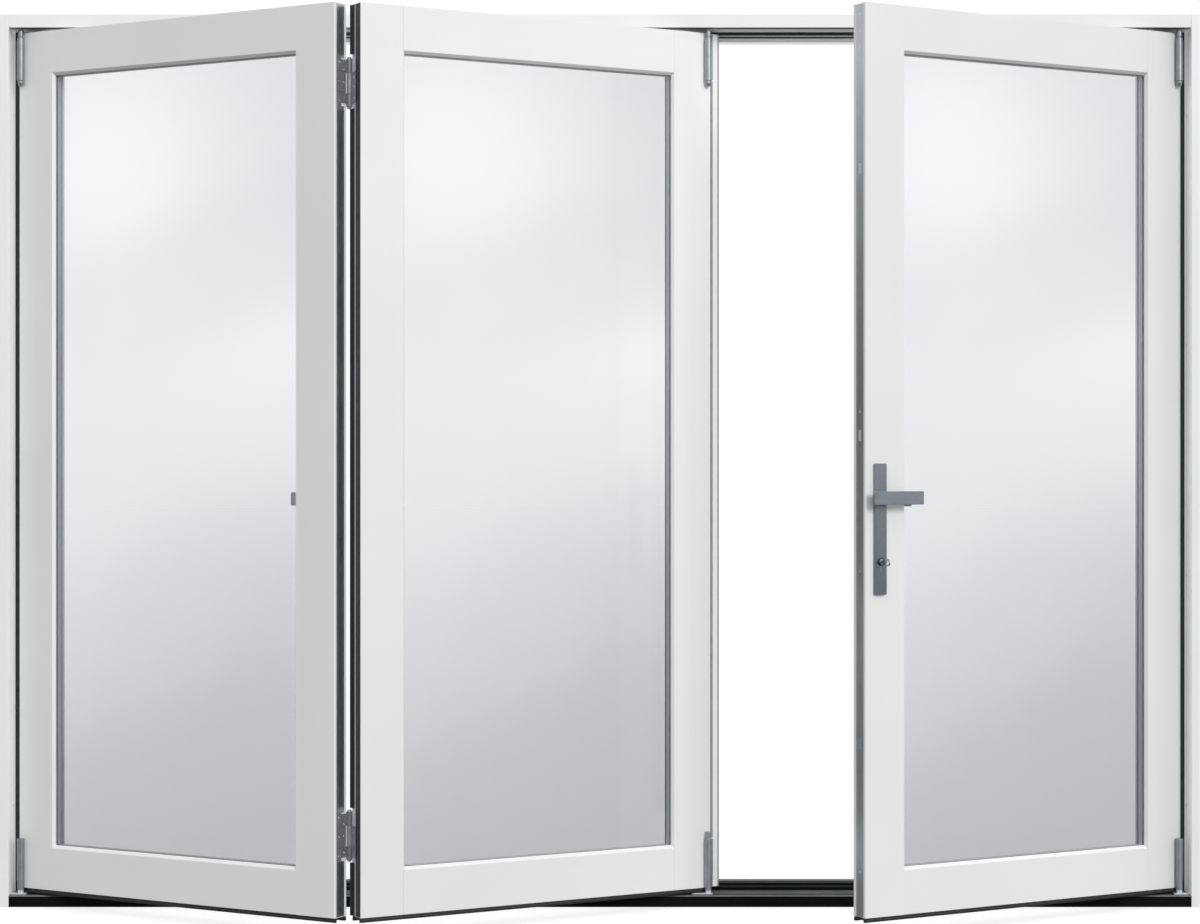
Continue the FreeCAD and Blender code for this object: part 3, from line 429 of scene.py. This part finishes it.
# One steel at two brightnesses: the inner flaps' copy is paler, painted light on flaps in the shade between the
# leaves.
FOLD_STEEL = metal("fold_hinge_steel", (0.235, 0.245, 0.26), (0.31, 0.32, 0.335), (0.42, 0.54), metallic=0.6)
FLAP_STEEL = metal("flap_steel", (0.335, 0.35, 0.37), (0.44, 0.455, 0.475), (0.42, 0.54), metallic=0.6)
FACE_STEEL = faceplate("faceplate_steel")
ZINC = metal("bright_zinc", (0.66, 0.68, 0.70), (0.86, 0.87, 0.88), (0.12, 0.24), mottle=90.0)
EDGE = metal("edge_steel", (0.46, 0.49, 0.515), (0.60, 0.63, 0.655), (0.28, 0.40))
SHOE = metal("shoe_zinc", (0.74, 0.755, 0.77), (0.84, 0.85, 0.86), (0.22, 0.34), grain=(0.02, 0.002, 0.002), mottle=240.0, metallic=0.5)
SATIN = metal("handle_satin", (0.255, 0.285, 0.325), (0.315, 0.345, 0.388), (0.30, 0.40), grain=(0.002, 0.002, 0.05), mottle=220.0)
LEVER = metal("lever_satin", (0.262, 0.292, 0.332), (0.312, 0.342, 0.385), (0.30, 0.40), grain=(0.05, 0.002, 0.002), turn=TH, mottle=220.0)
# Paler satin for the fold lever: partly a brighter finish, partly painted light on a tip that sits in the leaf's
# shade.
FOLD_LEVER = metal("fold_lever_satin", (0.50, 0.51, 0.53), (0.66, 0.67, 0.69), (0.30, 0.40), grain=(0.05, 0.002, 0.002), turn=-TH, mottle=220.0)
CYLINDER = cylinder("cylinder_dark")
KEY = metal("key_nickel", (0.34, 0.35, 0.37), (0.48, 0.49, 0.51), (0.16, 0.26), grain=(0.002, 0.002, 0.03), mottle=260.0)
# Painted shade: the backplates darker towards their foot.
PLATE = metal("plate_satin", (0.235, 0.258, 0.292), (0.300, 0.325, 0.362), (0.32, 0.42), grain=(0.002, 0.002, 0.05), mottle=220.0, painted_shade_up=(0.76, 1.04, 0.70, 0.99))
TRACK = metal("track_aluminium", (0.42, 0.43, 0.43), (0.52, 0.53, 0.53), (0.30, 0.42), grain=(0.2, 0.003, 0.003))
RUBBER = rubber("black_rubber", (0.0075, 0.0080, 0.0080), (0.020, 0.021, 0.021))
# Grey glazing gaskets: partly their own colour, partly painted shade for the dark line at the sight line.
GASKET = rubber("grey_gasket", (0.42, 0.43, 0.44), (0.50, 0.51, 0.52), (0.5, 0.65))
# The meeting seal is grey: partly its own colour, partly painted shade standing in for the shadow line beside the
# step.
MEETING = rubber("meeting_gasket", (0.30, 0.305, 0.31), (0.37, 0.375, 0.38), (0.5, 0.65))
GREEN = rubber("green_rubber", (0.012, 0.030, 0.022), (0.024, 0.052, 0.040))
FOLD_STRIP = fold_strip("fold_edge_strip")
# One anodised finish at two brightnesses: the stop's copy is darker, painted shade on the stop.
SILL = sill("dark_anodised", 2.0)
SILL_STOP = sill("dark_stop", 0.45)
NYLON = nylon("black_nylon")
GLASS = {k: glass("glass_" + k, *v) for k, v in LEAVES.items()}
# Painted light: k scales each leaf's spacer tone, palest on the middle leaf.
SPACER = {k: spacer("spacer_" + k, *v, {"left": 1.06, "middle": 1.5, "right": 1.42}[k]) for k, v in LEAVES.items()}

BY_SLOT = {
    "spacer": None, "glass": None, "white_paint": None,
    "rubber": RUBBER, "dark_aluminium": SILL, "track": TRACK, "zinc": ZINC, "hinge_steel": HINGE,
    "edge_steel": EDGE, "handle_satin": SATIN, "wheel_plastic": NYLON,
}


BY_NODE = {
    "fold_hinge_outer_flaps": FOLD_STEEL, "fold_hinge_inner_flaps": FLAP_STEEL, "lock_faceplate": FACE_STEEL,
    "outer_lever": LEVER, "inner_lever": LEVER, "fold_lever": FOLD_LEVER,
    "lock_cylinder": CYLINDER, "door_key": KEY, "threshold_stop": SILL_STOP, "bottom_guide": SHOE, "bottom_pivot_shoes": SHOE, "top_pivot_pins": HINGE, "carrier_trolley": CARRIER, "middle_carrier_hinges": CARRIER,
    "handle_backplates": PLATE, "fold_handle_plate": PLATE, "frame_seals": GREEN, "meeting_seal": MEETING, "middle_fold_seal": FOLD_STRIP,
}


def white_for(name):
    if name == "frame_stops":
        return PAINT_STOPS
    if name == "meeting_strip":
        return PAINT_MEETING
    if name.endswith("beads"):
        return PAINT_SMALL
    if name == "head_frame":
        return PAINT_HEAD
    if name.endswith("jamb"):
        return PAINT_JAMB[name.split("_")[0]]
    if name == "left_rails":
        return PAINT_LEFT
    leaf = {"middle": PAINT_MIDDLE, "right": PAINT_RIGHT}.get(name.split("_")[0])
    if leaf:
        return leaf["x" if name.endswith("rails") else "z"]
    return PAINT_UP


def pick_group():
    """Marks for rounding each edge that stands out by more than 34 degrees and
    is longer than a given length."""
    g = bpy.data.node_groups.new("pick_edges", "GeometryNodeTree")
    g.interface.new_socket("Geometry", in_out="INPUT", socket_type="NodeSocketGeometry")
    g.interface.new_socket("Longer", in_out="INPUT", socket_type="NodeSocketFloat")
    g.interface.new_socket("Geometry", in_out="OUTPUT", socket_type="NodeSocketGeometry")
    a, b = g.nodes.new("NodeGroupInput"), g.nodes.new("NodeGroupOutput")
    angle = g.nodes.new("GeometryNodeInputMeshEdgeAngle")
    steep = g.nodes.new("FunctionNodeCompare")
    steep.data_type, steep.operation = "FLOAT", "GREATER_THAN"
    steep.inputs[1].default_value = math.radians(34.0)
    ends = g.nodes.new("GeometryNodeInputMeshEdgeVertices")
    dist = g.nodes.new("ShaderNodeVectorMath")
    dist.operation = "DISTANCE"
    long_ = g.nodes.new("FunctionNodeCompare")
    long_.data_type, long_.operation = "FLOAT", "GREATER_THAN"
    both = g.nodes.new("FunctionNodeBooleanMath")
    both.operation = "AND"
    store = g.nodes.new("GeometryNodeStoreNamedAttribute")
    store.data_type, store.domain = "FLOAT", "EDGE"
    store.inputs["Name"].default_value = "bevel_weight_edge"
    link = g.links.new
    link(angle.outputs["Signed Angle"], steep.inputs[0])
    link(ends.outputs["Position 1"], dist.inputs[0])
    link(ends.outputs["Position 2"], dist.inputs[1])
    link(dist.outputs["Value"], long_.inputs[0])
    link(a.outputs["Longer"], long_.inputs[1])
    link(steep.outputs[0], both.inputs[0])
    link(long_.outputs[0], both.inputs[1])
    link(both.outputs[0], store.inputs["Value"])
    link(a.outputs["Geometry"], store.inputs["Geometry"])
    link(store.outputs[0], b.inputs[0])
    return g, g.interface.items_tree["Longer"].identifier


def smooth_group():
    """Shades every face smooth, with a hard line along edges left sharp."""
    g = bpy.data.node_groups.new("shade_smooth", "GeometryNodeTree")
    g.interface.new_socket("Geometry", in_out="INPUT", socket_type="NodeSocketGeometry")
    g.interface.new_socket("Geometry", in_out="OUTPUT", socket_type="NodeSocketGeometry")
    a, b = g.nodes.new("NodeGroupInput"), g.nodes.new("NodeGroupOutput")
    faces = g.nodes.new("GeometryNodeSetShadeSmooth")
    faces.domain = "FACE"
    angle = g.nodes.new("GeometryNodeInputMeshEdgeAngle")
    soft = g.nodes.new("FunctionNodeCompare")
    soft.data_type, soft.operation = "FLOAT", "LESS_THAN"
    soft.inputs[1].default_value = math.radians(50.0)
    edges = g.nodes.new("GeometryNodeSetShadeSmooth")
    edges.domain = "EDGE"
    link = g.links.new
    link(a.outputs[0], faces.inputs["Geometry"])
    link(faces.outputs[0], edges.inputs["Geometry"])
    link(angle.outputs["Unsigned Angle"], soft.inputs[0])
    link(soft.outputs[0], edges.inputs["Shade Smooth"])
    link(edges.outputs[0], b.inputs[0])
    return g


def parts_group(name, belongs):
    """Joins the loose faces of a node whose solids touch, one set of solids at
    a time, so that each solid stays closed. belongs(g, x, y, z) tells the first
    set from a point just inside each face."""
    g = bpy.data.node_groups.new("join_" + name, "GeometryNodeTree")
    g.interface.new_socket("Geometry", in_out="INPUT", socket_type="NodeSocketGeometry")
    g.interface.new_socket("Geometry", in_out="OUTPUT", socket_type="NodeSocketGeometry")
    a, b = g.nodes.new("NodeGroupInput"), g.nodes.new("NodeGroupOutput")
    link = g.links.new
    at, way = g.nodes.new("GeometryNodeInputPosition"), g.nodes.new("GeometryNodeInputNormal")
    inward, inside = g.nodes.new("ShaderNodeVectorMath"), g.nodes.new("ShaderNodeVectorMath")
    inward.operation, inside.operation = "SCALE", "ADD"
    inward.inputs["Scale"].default_value = -0.0003
    link(way.outputs["True Normal"], inward.inputs[0])
    link(at.outputs[0], inside.inputs[0])
    link(inward.outputs[0], inside.inputs[1])
    face = g.nodes.new("GeometryNodeFieldOnDomain")
    face.domain, face.data_type = "FACE", "FLOAT_VECTOR"
    link(inside.outputs[0], face.inputs[0])
    xyz = g.nodes.new("ShaderNodeSeparateXYZ")
    link(face.outputs[0], xyz.inputs[0])
    first = belongs(g, *xyz.outputs)
    other = g.nodes.new("FunctionNodeBooleanMath")
    other.operation = "NOT"
    link(first, other.inputs[0])
    geometry = a.outputs[0]
    for chosen in (first, other.outputs[0]):
        m = g.nodes.new("GeometryNodeMergeByDistance")
        m.inputs["Distance"].default_value = 0.00001
        link(geometry, m.inputs["Geometry"])
        link(chosen, m.inputs["Selection"])
        geometry = m.outputs[0]
    link(geometry, b.inputs[0])
    return g


def field(g, op, *values):
    n = g.nodes.new("ShaderNodeMath")
    n.operation = op
    for i, v in enumerate(values):
        if isinstance(v, float):
            n.inputs[i].default_value = v
        else:
            g.links.new(v, n.inputs[i])
    return n.outputs[0]


def more(g, a, b):
    n = g.nodes.new("FunctionNodeCompare")
    n.data_type, n.operation = "FLOAT", "GREATER_THAN"
    g.links.new(a, n.inputs[0])
    if isinstance(b, float):
        n.inputs[1].default_value = b
    else:
        g.links.new(b, n.inputs[1])
    return n.outputs[0]


def upright_beads(leaf):
    """The beads beside the glass, told from those above and below by the mitre."""
    place, turn = LEAVES[leaf]
    ox, oy = place(0, 0, 0)[:2]
    u0, u1 = (v / 1000 for v in SIGHT[leaf])
    z0, z1 = SZ0 / 1000, SZ1 / 1000

    def belongs(g, x, y, z):
        u = field(g, "ADD", field(g, "MULTIPLY", field(g, "SUBTRACT", x, ox), math.cos(turn)),
                  field(g, "MULTIPLY", field(g, "SUBTRACT", y, oy), math.sin(turn)))
        across = field(g, "SUBTRACT", field(g, "ABSOLUTE", field(g, "SUBTRACT", u, (u0 + u1) / 2)), (u1 - u0) / 2)
        up = field(g, "SUBTRACT", field(g, "ABSOLUTE", field(g, "SUBTRACT", z, (z0 + z1) / 2)), (z1 - z0) / 2)
        return more(g, across, up)

    return belongs


PICK, PICK_LONGER = pick_group()
SMOOTH = smooth_group()
JOIN = {leaf + "_glazing_beads": parts_group(leaf + "_beads", upright_beads(leaf)) for leaf in LEAVES}
JOIN["frame_stops"] = parts_group("stops", lambda g, x, y, z: more(g, z, 2.0265))


def soften(obj, width, longer=0.0, segments=2):
    """Rounds an object's outward edges with modifiers."""
    if obj.name in JOIN:
        m = obj.modifiers.new("join", "NODES")
        m.node_group = JOIN[obj.name]
    else:
        m = obj.modifiers.new("weld", "WELD")
        m.merge_threshold = 0.00001
    m = obj.modifiers.new("flat", "DECIMATE")
    m.decimate_type = "DISSOLVE"
    m.angle_limit = math.radians(0.4)
    if width:
        m = obj.modifiers.new("pick", "NODES")
        m.node_group = PICK
        m[PICK_LONGER] = longer
        m = obj.modifiers.new("round", "BEVEL")
        m.limit_method = "WEIGHT"
        m.width = width
        m.segments = segments
        m.use_clamp_overlap = True
        m.miter_outer = "MITER_ARC"
    m = obj.modifiers.new("smooth", "NODES")
    m.node_group = SMOOTH
    m = obj.modifiers.new("normals", "WEIGHTED_NORMAL")
    m.mode = "FACE_AREA"
    m.weight = 90
    m.keep_sharp = True


ROUND = {
    "white_paint": 0.0009, "rubber": 0.0004, "dark_aluminium": 0.0004, "track": 0.0003, "zinc": 0.0004,
    "hinge_steel": 0.0004, "edge_steel": 0.0003, "handle_satin": 0.0006, "wheel_plastic": 0.0004,
}
# Pieces with small holes or pockets: only their longer edges are rounded.
LONGER = {
    "head_frame": 0.012, "left_jamb": 0.012, "right_jamb": 0.012, "left_fold_stile": 0.03, "right_lock_stile": 0.03,
    "meeting_strip": 0.03, "left_edge_strip": 0.02, "lock_faceplate": 0.02, "strike_plates": 0.012, "lock_case": 0.012,
    "threshold": 0.5, "left_bottom_seal": 0.012,
}
PLAIN = ("left_edge_screws", "lock_screws")
slot_of = {}
for name, obj in nodes.items():
    slot_of[name] = obj.data.materials[0].name.split(".")[0]
for name, obj in nodes.items():
    slot = slot_of[name]
    leaf = name.split("_")[0]
    if slot == "glass":
        mat = GLASS[leaf]
    elif slot == "spacer":
        mat = SPACER[leaf]
    elif slot == "white_paint":
        mat = white_for(name)
    else:
        mat = BY_NODE.get(name, BY_SLOT[slot])
    for s in obj.material_slots:
        s.link = "OBJECT"
        s.material = mat
    if slot in ROUND:
        w = ROUND[slot]
        if name.endswith("beads"):
            w = 0.0006
        soften(obj, 0.0 if name in PLAIN else w, LONGER.get(name, 0.0))
    else:
        soften(obj, 0.0)


# ------------------------------------------------------------------ mesh helpers
def piece(name, bm, mat, body, smooth=True):
    me = bpy.data.meshes.new(name)
    bmesh.ops.recalc_face_normals(bm, faces=bm.faces)
    bm.to_mesh(me)
    bm.free()
    for p in me.polygons:
        p.use_smooth = smooth
    o = bpy.data.objects.new(name, me)
    scene.collection.objects.link(o)
    me.materials.append(mat)
    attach(o, body)
    return o


def frame_sweep(bm, place, sight, section):
    """A closed section run round the glass opening with mitred corners. The
    section's points are (out from the sight line, depth)."""
    u0, u1 = sight
    rings = []
    for s, d in section:
        pts = [(u0 - s, SZ0 - s), (u1 + s, SZ0 - s), (u1 + s, SZ1 + s), (u0 - s, SZ1 + s)]
        rings.append([bm.verts.new(place(u, d, z)) for u, z in pts])
    n = len(rings)
    for i in range(n):
        a, b = rings[i], rings[(i + 1) % n]
        for k in range(4):
            j = (k + 1) % 4
            bm.faces.new((a[k], a[j], b[j], b[k]))


def screw_head(bm, p, axis, r, proud=0.4, seg=28):
    """A raised countersunk head with a cross recess. p and r in millimetres,
    already in the frame."""
    a = Vector(axis).normalized()
    e1 = a.orthogonal().normalized()
    e2 = a.cross(e1)
    p = Vector(p)

    def ring(radius, h, cross=0.0):
        out = []
        for i in range(seg):
            f = 2 * math.pi * i / seg
            k = 1.0 - cross * (1.0 - abs(math.cos(2 * f)) ** 1.5)
            q = p + a * (h / 1000) + (e1 * math.cos(f) + e2 * math.sin(f)) * (radius * k / 1000)
            out.append(bm.verts.new(q))
        return out

    rings = [ring(r, -0.6), ring(r, 0.05), ring(r * 0.93, proud * 0.6), ring(r * 0.70, proud),
             ring(r * 0.55, proud, 0.55), ring(r * 0.45, proud - 1.1, 0.55)]
    for x, y in zip(rings, rings[1:]):
        for i in range(seg):
            j = (i + 1) % seg
            bm.faces.new((x[i], x[j], y[j], y[i]))
    bm.faces.new(rings[0])
    bm.faces.new(rings[-1])


# ------------------------------------------------------------------ added pieces
# Glazing gaskets, outside and inside, on every leaf.
OUT_SECTION = [(5.5, 9.15), (0.9, 9.15), (0.2, 9.3), (-0.1, 9.75), (0.1, 10.3), (0.6, 10.45), (5.5, 10.45)]
IN_SECTION = [(0.3, GLASS_IN + 0.75), (-0.05, GLASS_IN + 0.6), (-0.25, GLASS_IN + 0.9), (-0.1, GLASS_IN + 1.5), (0.5, GLASS_IN + 2.1)]
for leaf, (place, turn) in LEAVES.items():
    bm = bmesh.new()
    frame_sweep(bm, place, SIGHT[leaf], OUT_SECTION)
    frame_sweep(bm, place, SIGHT[leaf], IN_SECTION)
    piece(leaf + "_gaskets", bm, GASKET, leaf + "_leaf", smooth=False)

# Screws in the hinge plates.
def leaf_axis(place, du, dd):
    a, b = Vector(place(0, 0, 0)), Vector(place(du, dd, 0))
    return (b - a).normalized()


for leaf, edge, sgn in (("left", 0.0, -1), ("middle", W, 1), ("right", W, 1)):
    place = LEAVES[leaf][0]
    bm = bmesh.new()
    for z in (72.0, 106.5, 141.0, 1945.0, 1979.5, 2014.0):
        screw_head(bm, place(edge + sgn * 2.5, 1.2, z), leaf_axis(place, sgn, 0), 3.3)
    piece(leaf + "_hinge_screws", bm, ZINC, leaf + "_leaf")

FOLD_SCREWS = {"left": ((14.0, 0.10), (14.0, 0.90), (32.0, 0.17), (32.0, 0.76), (14.0, 0.50), (31.0, 0.50)),
               "middle": ((31.0, 0.16), (31.0, 0.40), (31.0, 0.60))}
for leaf, edge, sgn in (("left", W, 1), ("middle", 0.0, -1)):
    place = LEAVES[leaf][0]
    bm = bmesh.new()
    for z0, z1 in ((164.0, 269.0), (1817.0, 1922.0)):
        for d, f in FOLD_SCREWS[leaf]:
            screw_head(bm, place(edge + sgn * 2.2, d, z0 + f * (z1 - z0)), leaf_axis(place, sgn, 0), 2.9, proud=0.25)
    piece(leaf + "_fold_screws", bm, ZINC, leaf + "_leaf")

# Screws of the inside handle plates.
bm = bmesh.new()
for z in (760.0, 1020.0):
    screw_head(bm, right(36.5, T + 8.0, z), leaf_axis(right, 0, 1), 3.6)
piece("backplate_screws", bm, SATIN, "right_leaf")
bm = bmesh.new()
for z in (893.0, 997.0):
    screw_head(bm, left(836.0, T + 6.0, z), leaf_axis(left, 0, 1), 3.6)
piece("fold_plate_screws", bm, SATIN, "left_leaf")

# ------------------------------------------------------------------ stage
me = bpy.data.meshes.new("floor")
R = 60.0
me.from_pydata([(-R, -R, 0), (R, -R, 0), (R, R, 0), (-R, R, 0)], [], [(0, 1, 2, 3)])
floor = bpy.data.objects.new("floor", me)
scene.collection.objects.link(floor)
floor.location.z = -0.0005
t = Tree("floor_white")
grain = t.noise(t.coords(), 8.0, 3.0)
t.surface(t.ramp(grain, [(0.3, (0.38, 0.38, 0.38)), (0.7, (0.40, 0.40, 0.40))]), 0.9, None,
          Specular_IOR_Level=0.0, Emission_Color=(1.0, 1.0, 1.0, 1.0), Emission_Strength=0.80)
t.mat.cycles.emission_sampling = "NONE"
me.materials.append(t.mat)
floor.visible_diffuse = False
floor.visible_glossy = False

bm = bmesh.new()
bmesh.ops.create_icosphere(bm, subdivisions=4, radius=58.0)
me = bpy.data.meshes.new("backdrop")
bm.to_mesh(me)
bm.free()
dome = bpy.data.objects.new("backdrop", me)
scene.collection.objects.link(dome)
t = Tree("backdrop_white")
em = t.add("ShaderNodeEmission")
em.inputs["Color"].default_value = (1, 1, 1, 1)
em.inputs["Strength"].default_value = 1.02
t.link(em.outputs[0], t.out.inputs["Surface"])
t.mat.cycles.emission_sampling = "NONE"
me.materials.append(t.mat)
dome.visible_diffuse = False
dome.visible_glossy = False
dome.visible_shadow = False

# A shell that only reflections see: paler towards the top, like a lit ceiling,
# with a dark flag low in front.
bm = bmesh.new()
bmesh.ops.create_icosphere(bm, subdivisions=4, radius=57.0)
me = bpy.data.meshes.new("reflector")
bm.to_mesh(me)
bm.free()
shell = bpy.data.objects.new("reflector", me)
scene.collection.objects.link(shell)
t = Tree("reflector_light")
x, y, z = t.split(t.coords(size=(57.0, 57.0, 57.0)))
em = t.add("ShaderNodeEmission")
lit = t.ramp(t.range(z, -0.5, 0.5, 0.0, 1.0), [
    (0.00, (0.26, 0.26, 0.26)), (0.34, (0.44, 0.44, 0.445)), (0.50, (0.48, 0.482, 0.487)),
    (0.57, (0.55, 0.554, 0.56)), (0.67, (1.16, 1.17, 1.185)), (1.00, (1.20, 1.21, 1.22))])
flag = t.math("MULTIPLY", t.range(t.math("ABSOLUTE", x), 0.25, 0.60, 1.0, 0.0, True), t.range(z, -0.04, 0.06, 1.0, 0.0, True))
flag = t.math("MULTIPLY", flag, t.range(y, -0.4, -0.1, 0.62, 0.0))
t.link(t.mix(flag, lit, (0.04, 0.04, 0.045)), em.inputs["Color"])
t.link(em.outputs[0], t.out.inputs["Surface"])
t.mat.cycles.emission_sampling = "NONE"
me.materials.append(t.mat)
shell.visible_camera = False
shell.visible_diffuse = False
shell.visible_transmission = False
shell.visible_volume_scatter = False
shell.visible_shadow = False

world = bpy.data.worlds.new("studio")
scene.world = world
world.use_nodes = True
nt = world.node_tree
nt.nodes.clear()
wo = nt.nodes.new("ShaderNodeOutputWorld")
bg = nt.nodes.new("ShaderNodeBackground")
tc = nt.nodes.new("ShaderNodeTexCoord")
sp = nt.nodes.new("ShaderNodeSeparateXYZ")
nt.links.new(tc.outputs["Generated"], sp.inputs[0])


def sky(low, high):
    """A vertical gradient: low below the horizon, high above."""
    mr, rp = nt.nodes.new("ShaderNodeMapRange"), nt.nodes.new("ShaderNodeValToRGB")
    mr.inputs["From Min"].default_value = -1.0
    for e, pos, v in zip(rp.color_ramp.elements, (0.36, 0.66), (low, high)):
        e.position = pos
        e.color = (v, v * 1.005, v * 1.01, 1)
    nt.links.new(sp.outputs["Z"], mr.inputs["Value"])
    nt.links.new(mr.outputs["Result"], rp.inputs["Fac"])
    return rp.outputs["Color"]


turn = nt.nodes.new("ShaderNodeMapRange")
turn.interpolation_type = "SMOOTHSTEP"
turn.inputs["From Min"].default_value = -0.25
turn.inputs["From Max"].default_value = 0.35
nt.links.new(sp.outputs["Y"], turn.inputs["Value"])
mx = nt.nodes.new("ShaderNodeMix")
mx.data_type = "RGBA"
nt.links.new(turn.outputs["Result"], mx.inputs[0])
nt.links.new(sky(0.40, 0.66), mx.inputs[6])
nt.links.new(sky(0.85, 0.45), mx.inputs[7])
nt.links.new(mx.outputs[2], bg.inputs["Color"])
nt.links.new(bg.outputs[0], wo.inputs["Surface"])


def softbox(name, at, aim, size, watts, color=(1, 1, 1)):
    li = bpy.data.lights.new(name, "AREA")
    li.shape = "RECTANGLE"
    li.size, li.size_y = size
    li.energy = watts
    li.color = color
    o = bpy.data.objects.new(name, li)
    scene.collection.objects.link(o)
    o.location = at
    o.rotation_euler = (Vector(aim) - Vector(at)).to_track_quat("-Z", "Y").to_euler()
    return o


lamps = [
    softbox("key", (20.0, -30.2, 17.0), (0.0, -0.2, 1.1), (14.0, 14.0), 7000),
    softbox("back", (-2.0, 9.0, 5.0), (0.0, 0.0, 1.1), (5.0, 4.0), 360),
]
lamps[1].visible_glossy = False
# The lamps light the door only, so that the floor stays an even white.
spared = bpy.data.collections.new("floor_only")
spared.objects.link(floor)
spared.collection_objects[0].light_linking.link_state = "EXCLUDE"
for lamp in lamps:
    lamp.light_linking.receiver_collection = spared

# ------------------------------------------------------------------ camera
cam = bpy.data.objects.new("camera", bpy.data.cameras.new("camera"))
scene.collection.objects.link(cam)
cam.data.sensor_width = 36.0
cam.data.lens = 82.2
cam.data.clip_end = 200.0
cam.location = (0.0, -6.4417, 1.0371)
cam.rotation_euler = (math.pi / 2, 0.0, 0.0)
scene.camera = cam
scene.view_settings.view_transform = "Standard"
scene.view_settings.look = "None"
